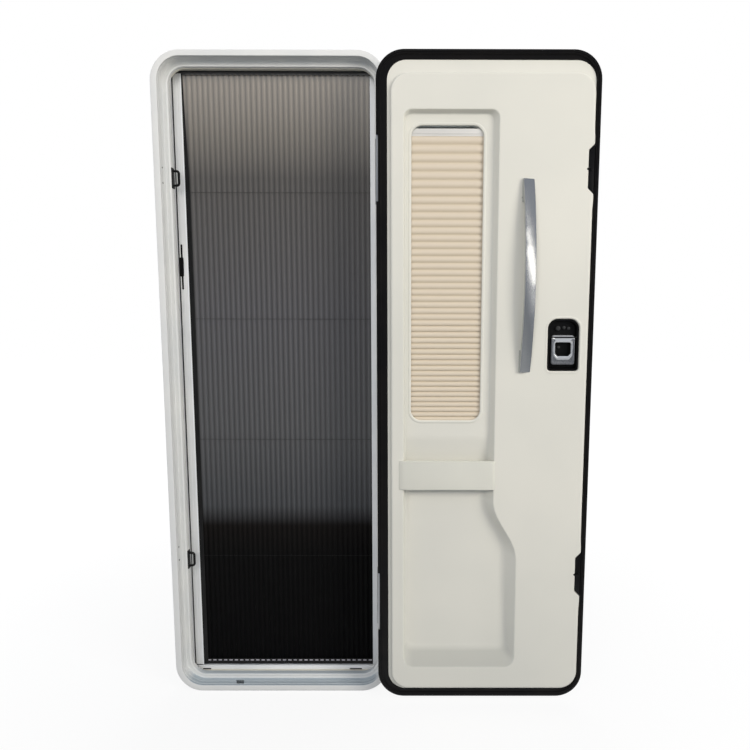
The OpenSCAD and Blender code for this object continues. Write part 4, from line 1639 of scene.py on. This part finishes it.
@dataclass(frozen=True)
class DrainGrille:
    """A small black grille over the drain slot, whose slats Geometry Nodes repeat.

    Attributes:
        middle: Its middle on the rebate's floor.
        width: Width of the row of slats.
        slats: Their number.
    """

    middle: Point3 = (-130.0, 10.0, 9.4)
    width: float = 22.0
    slats: int = 8

    def build(self) -> Object:
        """Makes the slats."""
        recipe = Recipe("drain_grille_recipe")
        width = recipe.size("Row width", self.width * MM)
        count = recipe.size("Slats", self.slats, "NodeSocketInt")
        step = recipe.vector(X=recipe.math("DIVIDE", width, count))
        start = recipe.vector(X=recipe.math("MULTIPLY", width, -0.5))
        slant = (0.0, 0.0, math.radians(18.0))
        slats = recipe.on_points(
            recipe.row(count, start, step), recipe.block((1.4, 14.0, 1.2)), slant
        )
        placed = recipe.moved(slats, Translation=tuple(c * MM for c in self.middle))
        recipe.close(placed, BLACK_MOULDING)
        return dress(recipe.run("drain_grille"), BLACK_MOULDING, Body.FRAME)


def node_box(node: str) -> tuple[Point3, Point3]:
    """Gives a solid's lowest and highest corner in millimetres."""
    low, high = (tuple(c / MM for c in corner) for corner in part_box(node))
    return low, high


@dataclass(frozen=True)
class SkinWindow:
    """The window's cut-out in the leaf's outer skin, with its rubber lip.

    Attributes:
        lap: How far the pane reaches under the skin.
        corner: Corner radius of the cut-out.
        lip: Width of the rubber lip.
    """

    lap: float = 20.0
    corner: float = 28.0
    lip: float = 6.0

    def outline(self, inset: float) -> Loop:
        """Gives the cut-out's outline, moved inward."""
        (x0, _, z0), (x1, _, z1) = node_box("window_pane")
        gap = self.lap + inset
        corners = box_corners((x0 + gap, z0 + gap), (x1 - gap, z1 - gap), [self.corner - inset] * 4)
        return rounded_loop(corners, 6)

    def build(self) -> None:
        """Cuts the skin and lays the lip between it and the pane."""
        (_, front, _), (_, back, _) = node_box("outer_skin")
        _, (_, pane, _) = node_box("window_pane")
        past, seat, sunk = 2.0, 0.2, 1.0
        edge, inner = self.outline(0.0), self.outline(self.lip)
        tool = Shell()
        tool.prism(edge, (front - past, back + past))
        skin = Softened("outer_skin", OUTER_GLOSS, Body.LEAF, "outer_gloss", 0.5).shape()
        cut(skin, tool.mesh("skin_window_tool"))
        dress(smooth(skin, 38.0), OUTER_GLOSS, Body.LEAF, ("outer_skin",))
        lip = Shell()
        lip.skin(
            [lip.ring(edge, pane + seat), lip.ring(edge, back - seat),
             lip.ring(inner, back - sunk), lip.ring(inner, pane + seat)],
            closed=True,
        )
        dress(smooth(lip.mesh("skin_window_lip"), 38.0), SEAL_RUBBER, Body.LEAF)


@dataclass(frozen=True)
class ScreenBar:
    """The fly screen's pull bar: a grooved extrusion with a finger grip and a brush strip.

    Attributes:
        low: Lowest corner of the bar.
        high: Highest corner of the bar.
        shoe_ends: Lowest and highest z of its sliding shoes.
        grip_z: Height of the grip's middle.
    """

    low: Point3
    high: Point3
    shoe_ends: tuple[float, float]
    grip_z: float = 1251.0

    @classmethod
    def from_frame(cls) -> ScreenBar:
        """Reads the bar's place from its solid, whose shoes reach past the net's height."""
        (x0, y0, shoe0), (x1, y1, shoe1) = node_box("screen_bar")
        (_, _, z0), (_, _, z1) = node_box("fly_screen_mesh")
        return cls((x0, y0, z0 - 3.0), (x1, y1, z1 + 12.0), (shoe0, shoe1))

    def build(self) -> None:
        """Builds the bar, its grip, its brush strip, a painted highlight on its edge and the net's
        end profile with its painted shadow.
        """
        (x0, y0, z0), (x1, y1, z1) = self.low, self.high
        slot_front, slot_back, slot_depth = 61.7, 70.3, 10.0
        corners: list[Corner] = [
            (x0, y0, 1.6), (x0, y1, 1.6), (x1, y1, 1.0), (x1, slot_back, 0.5),
            (x1 - slot_depth, slot_back, 0.5), (x1 - slot_depth, slot_front, 0.5),
            (x1, slot_front, 0.5), (x1, y0 + 0.9, 0.3), (x1 - 3.4, y0 + 0.9, 0.2),
            (x1 - 3.4, y0, 0.4),
        ]
        for x, depth in ((x1 - 5.2, 0.7), (x1 - 11.5, 0.9), (x0 + 15.6 - 12.2, 0.6)):
            corners += [(x + 0.8, y0, 0.2), (x + 0.4, y0 + depth, 0.2),
                        (x - 0.4, y0 + depth, 0.2), (x - 0.8, y0, 0.2)]
        loop = rounded_loop(corners, 4)
        shell = Shell(lambda a, s, b: (a, b, s))
        bottom, top = shell.ring(loop, z0), shell.ring(loop, z1)
        shell.skin([bottom, top])
        shell.fill(bottom, loop)
        shell.fill(top, loop)
        bar = shell.mesh("screen_pull_bar")
        cut(bar, self.grip_block("grip_slot_tool", (3.6, 9.4), (-1.0, 2.6), 64.5, 2.4))
        smooth(bar, 38.0)
        dress(bar, BAR_COAT, Body.SCREEN, ("screen_bar",))
        grip = self.grip_block("grip_insert", (3.8, 9.2), (0.5, 2.4), 64.0, 2.2)
        dress(smooth(grip, 40.0), BLACK_MOULDING, Body.SCREEN)
        pull = self.grip_block("grip_pull", (0.6, 11.4), (-1.6, 1.0), 27.5, 3.5)
        bevel(pull, 0.8, 2)
        dress(pull, BLACK_MOULDING, Body.SCREEN)
        dress(self.shoes(), BLACK_MOULDING, Body.SCREEN)
        # The bar's bright edge is a painted highlight: a thin strip of the paler coat.
        strips = (
            ("lock_side_brush", (x0 - 3.2, y0 + 2.0), (x0 + 0.4, y0 + 6.0), BLACK_POLYESTER),
            ("bar_edge_painted_highlight", (x1 - 3.2, y0), (x1 - 0.2, y0 + 1.0), PAINTED_LIGHT_COAT),
        )
        for name, (left, front), (right, back), finish in strips:
            strip = self.block(name, (left, front, z0), (right, back, z1), 0.6)
            dress(smooth(strip, 40.0), finish, Body.SCREEN)
        # The net's black end profile widens downward into a painted shadow on the net beside the
        # bar.
        profile = Shell(lambda a, s, b: (a, b, s))
        profile.capped(
            [
                profile.ring(box_loop((x1 - 1.2, y0 + 1.6), (x1 + reach, y0 + 3.6)), z)
                for z, reach in ((z0, 13.0), (z1 - 290.0, 11.5), (z1, 2.6))
            ]
        )
        end = smooth(profile.mesh("net_end_profile_painted_shadow"), 40.0)
        dress(end, BLACK_POLYESTER, Body.SCREEN)

    def block(self, name: str, low: Point3, high: Point3, radius: float) -> Object:
        """Makes a block whose upright outline has rounded corners."""
        shell = Shell()
        loop = rounded_loop(box_corners((low[0], low[2]), (high[0], high[2]), [radius] * 4), 5)
        shell.prism(loop, (low[1], high[1]))
        return shell.mesh(name)

    def grip_block(
        self, name: str, across: Point2, depths: Point2, half: float, radius: float
    ) -> Object:
        """Makes a block about the grip's middle, measured from the bar's left and front face."""
        x0, y0, _ = self.low
        low = (x0 + across[0], y0 + depths[0], self.grip_z - half)
        return self.block(name, low, (x0 + across[1], y0 + depths[1], self.grip_z + half), radius)

    def shoes(self) -> Object:
        """Makes the two sliding shoes that run in the tracks."""
        shell = Shell()
        left, front, back = self.low[0] + 2.0, self.low[1] + 0.2, self.high[1] - 0.2
        ends = ((self.shoe_ends[0], self.low[2] + 0.5), (self.high[2] - 0.5, self.shoe_ends[1]))
        for z0, z1 in ends:
            loop = rounded_loop(box_corners((left, z0), (left + 12.0, z1), [1.5] * 4), 3)
            shell.prism(loop, (front, back))
        return smooth(shell.mesh("screen_shoes"), 40.0)


@dataclass(frozen=True)
class PleatedNet:
    """The pleated net, its tension cords and the hem and stitches along its foot.

    Attributes:
        low: Lowest corner of the net.
        high: Highest corner of the net.
        keep: Share of its width that is left when it is pushed aside; not used.
        pleats: Number of pleats.
        depth: Depth of a pleat from fold to fold.
        cords: Heights of the tension cords.
    """

    low: Point3
    high: Point3
    keep: float
    pleats: int = 37
    depth: float = 6.6
    cords: tuple[float, ...] = (1461.0, 1102.4, 744.8, 383.2)
    stitch_z: float = 45.0
    stitch_pitch: float = 16.7

    @classmethod
    def from_frame(cls) -> PleatedNet:
        """Reads the net's place and how far it folds up from its solid and its joint."""
        low, high = node_box("fly_screen_mesh")
        low, high = (low[0], low[1], low[2] - 4.0), (high[0], high[1], high[2] + 12.0)
        width = high[0] - low[0]
        travel = joint_range("screen_slide")[1]
        return cls(low, high, (width - travel / MM) / width)

    def finish(self) -> NetFinish:
        """Gives the net's finish, with painted shade that darkens it towards its foot."""
        return NetFinish(
            "pleated_polyester_net", "#4A4844", "#3F3D3A", 0.8, grain=1.4, grain_depth=0.1,
            specular=0.1, height=(self.low[2], self.high[2]), shades=NET_PAINTED_SHADES,
        )

    def build(self) -> Object:
        (x0, y0, z0), (x1, y1, z1) = self.low, self.high
        width, height = x1 - x0, z1 - z0
        recipe = Recipe("pleated_net_recipe")
        across = recipe.size("Width", width * MM)
        tall = recipe.size("Height", height * MM)
        pitch = recipe.size("Pleat pitch", width / self.pleats * MM)
        fold = recipe.size("Fold depth", self.depth * MM)
        points_in_pleat, rows = 4, 25
        grid = recipe.grid((across, tall), (self.pleats * points_in_pleat + 1, rows))
        place = recipe.position()
        wave = recipe.math("PINGPONG", recipe.math("DIVIDE", place["X"], pitch), 0.5)
        centred = recipe.math("SUBTRACT", wave, 0.25)
        out = recipe.math("MULTIPLY", recipe.math("MULTIPLY", centred, 2.0), fold)
        spot = recipe.vector(X=place["X"], Y=out, Z=place["Y"])
        pleated = recipe.folded(grid, recipe.math("MULTIPLY", wave, 2.0), spot)
        centre = ((x0 + x1) / 2 * MM, (y0 + y1) / 2 * MM, (z0 + z1) / 2 * MM)
        recipe.close(recipe.moved(pleated, Translation=centre), self.finish())
        net = recipe.run("pleated_net")
        dress(net, self.finish(), Body.FRAME, ("fly_screen_mesh",))
        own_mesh(net)
        return net

    def build_foot(self) -> None:
        """Places the black hem along the net's foot and its row of pale stitches."""
        hem_shell = Shell()
        x0, x1, front = self.low[0], self.high[0], self.low[1]
        loop = box_loop((x0, self.low[2]), (x1, self.stitch_z + 5.0))
        hem_shell.prism(loop, (front - 0.6, front - 0.1))
        hem = dress(hem_shell.mesh("net_hem"), BLACK_POLYESTER, Body.FRAME)
        recipe = Recipe("hem_stitch_recipe")
        pitch = recipe.size("Stitch pitch", self.stitch_pitch * MM)
        count = recipe.size("Stitches", int((x1 - x0) / self.stitch_pitch), "NodeSocketInt")
        start = ((x0 + 9.0) * MM, (front - 0.8) * MM, self.stitch_z * MM)
        row = recipe.row(count, start, recipe.vector(X=pitch))
        recipe.close(recipe.on_points(row, recipe.block((10.0, 0.7, 2.6))), PALE_STITCH)
        stitches = dress(recipe.run("hem_stitches"), PALE_STITCH, Body.FRAME)
        for piece in (hem, stitches):
            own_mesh(piece)

    def build_cords(self) -> Object:
        """Places the tension cords by Geometry Nodes."""
        recipe = Recipe("tension_cord_recipe")
        length = recipe.size("Cord length", (self.high[0] - self.low[0]) * MM)
        radius = recipe.size("Cord radius", 0.5 * MM)
        size = {"Vertices": 8, "Radius": radius, "Depth": length}
        cord = recipe.add("GeometryNodeMeshCylinder", inputs=size).outputs["Mesh"]
        across = (0.0, math.pi / 2, 0.0)
        placed = recipe.on_points(recipe.source.outputs["Geometry"], cord, across)
        recipe.close(placed, BLACK_POLYESTER)
        middle = (self.low[0] + self.high[0]) / 2
        cords = recipe.run("tension_cords", [(middle, self.low[1] + 0.8, z) for z in self.cords])
        dress(cords, BLACK_POLYESTER, Body.FRAME)
        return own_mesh(cords)


# Blind


@dataclass(frozen=True)
class PleatedBlind:
    """The blind's cloth, folded by Geometry Nodes in soft even pleats.

    Attributes:
        leaf: The leaf that carries it; not used.
        low: Its lower left corner, at the depth of its inner folds.
        high: Its upper right corner, at the depth of its outer folds.
        pitches: Height of a pleat at the head and at the foot.
        rows: Rows of points in a pleat.
    """

    leaf: LeafSpace
    low: Point3
    high: Point3
    pitches: tuple[float, float] = (24.0, 13.5)
    rows: int = 8

    @classmethod
    def from_frame(cls, leaf: LeafSpace) -> PleatedBlind:
        """Reads the cloth's place from its solid."""
        low, high = node_box("blind_fabric")
        seat, foot, head = 0.2, 0.3, 4.0
        inner = (low[0], high[1] - seat, low[2] + foot)
        return cls(leaf, inner, (high[0], low[1] + seat, high[2] + head))

    def build(self) -> Object:
        """The number of pleats grows with the square of the way down, so that the pitch shrinks
        evenly from head to foot. Each row's height is worked back from its number.
        """
        (x0, y0, z0), (x1, y1, z1) = self.low, self.high
        width, height = x1 - x0, z1 - z0
        first, last = (height / pitch for pitch in self.pitches)
        slope = (last - first) / 2
        pleats = round(first + slope)
        first = pleats - slope
        recipe = Recipe("pleated_blind_recipe")
        across = recipe.size("Width", width * MM)
        tall = recipe.size("Height", height * MM)
        fold = recipe.size("Fold depth", (y0 - y1) * MM)
        grid = recipe.grid((across, 1.0), (9, pleats * self.rows + 1))
        place = recipe.position()
        from_head = recipe.math("SUBTRACT", 0.5, place["Y"])
        number = recipe.math("MULTIPLY", from_head, float(pleats))
        wave = recipe.math("SINE", recipe.math("MULTIPLY", number, math.pi))
        soft = recipe.math("POWER", recipe.math("ABSOLUTE", wave), 0.7)
        scaled = recipe.math("MULTIPLY", number, 4 * slope)
        root = recipe.math("SQRT", recipe.math("ADD", scaled, first * first))
        down = recipe.math("DIVIDE", recipe.math("SUBTRACT", root, first), 2 * slope)
        up = recipe.math("MULTIPLY", recipe.math("SUBTRACT", 0.5, down), tall)
        out = recipe.math("MULTIPLY", recipe.math("MULTIPLY", soft, -1.0), fold)
        pleated = recipe.folded(grid, soft, recipe.vector(X=place["X"], Y=out, Z=up))
        centre = ((x0 + x1) / 2 * MM, y0 * MM, (z0 + z1) / 2 * MM)
        recipe.close(recipe.moved(pleated, Translation=centre), BLIND_CLOTH)
        cloth = smooth(recipe.run("pleated_blind"), 80.0)
        dress(cloth, BLIND_CLOTH, Body.LEAF, ("blind_fabric",))
        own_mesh(cloth)
        return cloth


# Studio


@dataclass(frozen=True)
class Lamp:
    """A soft lamp.

    Attributes:
        name: Its name.
        place: Where it stands.
        size: Width and height of its face.
        watts: Its power.
        target: Where it looks.
        mirrored: Whether a shiny face shows it.
    """

    name: str
    place: Point3
    size: Point2
    watts: float
    target: Point3 = (280.0, 0.0, 900.0)
    mirrored: bool = True

    def build(self) -> None:
        """Stands the lamp in the scene."""
        data = bpy.data.lights.new(self.name, "AREA")
        data.shape = "RECTANGLE"
        data.size, data.size_y = (s * MM for s in self.size)
        data.energy = self.watts
        data.color = linear("#FFF8EE")[:3]
        lamp = stand(self.name, data)
        look = Vector(self.target) - Vector(self.place)
        lamp.rotation_euler = look.to_track_quat("-Z", "Y").to_euler()
        lamp.location = [c * MM for c in self.place]
        lamp.visible_glossy = self.mirrored


# A soft key at the right, a weak lamp above, the window that the handle mirrors, one behind.
LAMPS = (
    Lamp("key_right", (3500.0, -2400.0, 2300.0), (1500.0, 1900.0), 85.0, mirrored=False),
    Lamp("top_front", (-700.0, -3000.0, 2700.0), (1900.0, 1200.0), 42.0, mirrored=False),
    Lamp("window", (2680.0, -2130.0, 1760.0), (1500.0, 470.0), 7.6, (690.0, 0.0, 1250.0)),
    Lamp("rear_fill", (300.0, 2400.0, 2200.0), (1800.0, 1200.0), 20.0),
)


@dataclass(frozen=True)
class Studio:
    """Camera, world and floor.

    Attributes:
        camera: The camera's place.
        yaw: Its turn to the left, in degrees.
        pitch: How far it looks down, in degrees.
        roll: Its turn about its own line of sight, in degrees.
        focal: Focal length in pixels of the photograph.
        middle: Pixel where its line of sight meets the photograph.
        frame: Side of the photograph in pixels.
        sensor: Width of the camera's sensor.
        ambient: Strength of the light from all round.
        mirrored_room: How bright the room behind the camera looks in a mirror.
    """

    camera: Point3 = (380.5, -1454.5, 1083.9)
    yaw: float = -0.106
    pitch: float = 5.585
    roll: float = -0.098
    focal: float = 515.59
    middle: Point2 = (410.7, 376.0)
    frame: float = 750.0
    sensor: float = 36.0
    ambient: float = 0.62
    mirrored_room: float = 0.40

    def build_camera(self) -> None:
        """Sets the camera at the photograph's viewpoint."""
        data = bpy.data.cameras.new("viewpoint")
        data.sensor_width = self.sensor
        data.lens = self.focal / self.frame * self.sensor
        data.shift_x = (self.frame / 2 - self.middle[0]) / self.frame
        data.shift_y = (self.middle[1] - self.frame / 2) / self.frame
        data.clip_start = 0.01
        camera = stand("viewpoint", data)
        turn = (
            Matrix.Rotation(math.radians(self.yaw), 4, "Z")
            @ Matrix.Rotation(math.radians(90 - self.pitch), 4, "X")
            @ Matrix.Rotation(math.radians(-self.roll), 4, "Z")
        )
        camera.matrix_world = Matrix.Translation([c * MM for c in self.camera]) @ turn
        bpy.context.scene.camera = camera

    def build_world(self) -> None:
        """Lights all round softly, and shows white to the camera, through glass and behind.

        A mirror that looks back past the camera sees the darker room that the lamps stand in.
        """
        world = bpy.data.worlds.new("soft_studio")
        bpy.context.scene.world = world
        world.use_nodes = True
        tree = world.node_tree
        tree.nodes.clear()
        path = add_node(tree, "ShaderNodeLightPath").outputs
        way = separate(tree, add_node(tree, "ShaderNodeTexCoord").outputs["Generated"])
        mirrored = map_range(tree, way["Y"], (-0.25, 0.35), (self.mirrored_room, 1.0))
        lit = mix_numbers(tree, path["Is Glossy Ray"], self.ambient, mirrored)
        seen = combine(tree, "MAXIMUM", path["Is Camera Ray"], path["Is Transmission Ray"])
        tint = mix_colours(tree, seen, linear("#EEF3FF"), linear("#FFFFFF"))
        light = {"Color": tint, "Strength": mix_numbers(tree, seen, lit, 1.0)}
        sky = add_node(tree, "ShaderNodeBackground", inputs=light)
        add_node(tree, "ShaderNodeOutputWorld", inputs={"Surface": sky.outputs["Background"]})

    def build_floor(self, level: float) -> Object:
        """Lays a pale floor that shows white but for the object's soft shadow."""
        reach = 14000.0
        shell = Shell()
        corners = [(-reach, -reach), (reach, -reach), (reach, reach), (-reach, reach)]
        shell.points = [(x, y, level) for x, y in corners]
        shell.faces = [(0, 1, 2, 3)]
        floor = shell.mesh("studio_floor", towards=(0.0, 0.0, 1.0))
        material = bpy.data.materials.new("matt_white_floor")
        material.use_nodes = True
        tree = material.node_tree
        tree.nodes.clear()
        path = add_node(tree, "ShaderNodeLightPath").outputs
        paint = mix_colours(tree, path["Is Camera Ray"], linear("#85888B"), linear("#D2D3D2"))
        matt = add_node(tree, "ShaderNodeBsdfDiffuse", inputs={"Color": paint})
        white = {"Color": linear("#FFFFFF"), "Strength": 1.04}
        glow = add_node(tree, "ShaderNodeEmission", inputs=white)
        place = add_node(tree, "ShaderNodeNewGeometry").outputs["Position"]
        middle = (0.28, 0, level * MM)
        away = add_node(
            tree, "ShaderNodeVectorMath", {"operation": "DISTANCE"}, {0: place, 1: middle}
        )
        clear = map_range(tree, away.outputs["Value"], (0.7, 2.4), (0.84, 1.0))
        mirrored = map_range(tree, separate(tree, place)["Y"], (-1.2, 0.2), (0.1, 0.74))
        direct = combine(tree, "MAXIMUM", path["Is Camera Ray"], path["Is Transmission Ray"])
        glossy = combine(tree, "MULTIPLY", path["Is Glossy Ray"], mirrored)
        share = mix_numbers(tree, direct, glossy, clear)
        mix = add_node(
            tree,
            "ShaderNodeMixShader",
            inputs={0: share, 1: matt.outputs["BSDF"], 2: glow.outputs["Emission"]},
        )
        add_node(tree, "ShaderNodeOutputMaterial", inputs={"Surface": mix.outputs["Shader"]})
        floor.data.materials.append(material)
        return floor


def build_top_track() -> None:
    """Builds the upper track as a dark slim channel and the dark ends of the lower one."""
    (x0, y0, _), (x1, y1, z1) = node_box("screen_top_track")
    shell = Shell()
    shell.prism(box_loop((x0, z1 - 4.6), (x1, z1)), (y0, y1))
    track = shell.mesh("dark_top_track")
    bevel(track, 0.4)
    dress(track, TRACK_DARK, Body.FRAME, ("screen_top_track",))
    (_, front, low), _ = node_box("screen_bottom_track")
    ends = (("left_track_end", -261.0, -236.0), ("right_track_end", 195.0, 233.0))
    for name, left, right in ends:
        shell = Shell()
        loop = box_loop((left, low + 0.4), (right, low + 4.0))
        shell.prism(loop, (front - 0.4, front + 0.6))
        dress(shell.mesh(name), BLACK_MOULDING, Body.FRAME)


def build_blind_clip() -> None:
    """Closes the gap between the blind's cloth and its rail with the rail's clip."""
    (x0, _, z0), (x1, _, _) = node_box("blind_rail")
    (_, front, _), (_, back, top) = node_box("blind_fabric")
    middle = (front + back) / 2
    shell = Shell()
    loop = box_loop((x0 + 2.0, min(top, z0) - 0.3), (x1 - 2.0, z0 + 4.0))
    shell.prism(loop, (middle - 1.2, middle + 1.2))
    dress(smooth(shell.mesh("blind_clip"), 40.0), BLIND_WHITE, Body.BLIND)


def build_screws(leaf: LeafSpace) -> None:
    """Places the screws of the strikers and of the grab handle."""
    wall = -298.9
    striker = tuple((wall, 9.0, z) for z in (1514.0, 1473.0, 434.0, 394.0))
    ScrewSet("striker_screws", Body.FRAME, striker, (0.0, 90.0, 0.0), 5.0, 1.2).build()
    handle = tuple(leaf.place(u, 24.0, z) for u, z in ((384.5, 1419.0), (388.0, 998.0)))
    ScrewSet("handle_screws", Body.LEAF, handle, (90.0, 0.0, 0.0), 3.6, 1.2).build()


def softened_pieces() -> list[Softened]:
    """Lists the solids shown with rounded edges and a finish of their own."""
    return [
        Softened("inner_frame", INNER_FRAME_MOULDING, Body.FRAME, "cream_moulding", 0.8),
        Softened("screen_bottom_track", PAINTED_LIGHT_COAT, Body.FRAME, "cream_moulding", 0.4),
        Softened("screen_cassette", PAINTED_LIGHT_COAT, Body.FRAME, "cream_moulding", 0.6),
        Softened("screen_lock_jamb", BAR_COAT, Body.FRAME, "cream_moulding", 0.3),
        Softened("upper_striker", STRIKER_BLACK, Body.FRAME, "black_steel", 0.0, swell=0.9),
        Softened("lower_striker", STRIKER_BLACK, Body.FRAME, "black_steel", 0.0, swell=0.9),
        Softened("upper_hinge_frame_leaf", HINGE_ALUMINIUM, Body.FRAME, "frame_coat", 0.3),
        Softened("lower_hinge_frame_leaf", HINGE_ALUMINIUM, Body.FRAME, "frame_coat", 0.3),
        Softened("upper_hinge_pin", PIN_STEEL, Body.FRAME, "pin_steel", 0.3),
        Softened("lower_hinge_pin", PIN_STEEL, Body.FRAME, "pin_steel", 0.3),
        Softened("edge_profile", EDGE_ALUMINIUM, Body.LEAF, "edge_aluminium", 0.5),
        Softened("window_pane", CLEAR_ACRYLIC, Body.LEAF, "clear_pane", 0.8),
        Softened("upper_hinge_door_leaf", HINGE_ALUMINIUM, Body.LEAF, "hinge_aluminium", 0.2),
        Softened("lower_hinge_door_leaf", HINGE_ALUMINIUM, Body.LEAF, "hinge_aluminium", 0.2),
        Softened("storage_rail", RAIL_CREAM, Body.LEAF, "cream_panel", 1.6, 3),
        Softened("grab_handle", BRUSHED_HANDLE, Body.LEAF, "brushed_handle", 0.9, 3),
        Softened("upper_latch", BLACK_MOULDING, Body.LEAF, "black_plastic", 0.9),
        Softened("lower_latch", BLACK_MOULDING, Body.LEAF, "black_plastic", 0.9),
        Softened("blind_frame", INNER_FRAME_MOULDING, Body.LEAF, "cream_moulding", 0.6),
        Softened("blind_rail", BLIND_WHITE, Body.BLIND, "blind_white", 1.0, 3),
    ]


def main() -> None:
    """Builds the studio and every sub-assembly in order."""
    logging.basicConfig(level=logging.INFO, format="%(name)s: %(message)s")
    FRAME.update(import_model())
    bpy.context.scene.view_settings.view_transform = "Standard"
    leaf = LeafSpace.from_frame()
    studio = Studio()
    studio.build_camera()
    for lamp in LAMPS:
        lamp.build()
    studio.build_world()
    studio.build_floor(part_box("outer_frame")[0][2] / MM)

    OuterFrame().build()
    DrainGrille().build()
    SkinWindow().build()
    build_blind_clip()
    for piece in softened_pieces():
        piece.build()
    ScreenBar.from_frame().build()
    net = PleatedNet.from_frame()
    net.build()
    net.build_cords()
    net.build_foot()
    build_top_track()
    build_screws(leaf)
    for height in InnerPanel(leaf).latches:
        LatchSnib(leaf, height).build()
    InnerPanel(leaf).build()
    DoorSeal(leaf).build()
    bezel = LockBezel(leaf)
    bezel.build()
    bezel.workings()
    paddle = LockPaddle(leaf)
    paddle.build()
    paddle.axle()
    PleatedBlind.from_frame(leaf).build()

    bpy.context.view_layer.update()


if __name__ == "__main__":
    main()
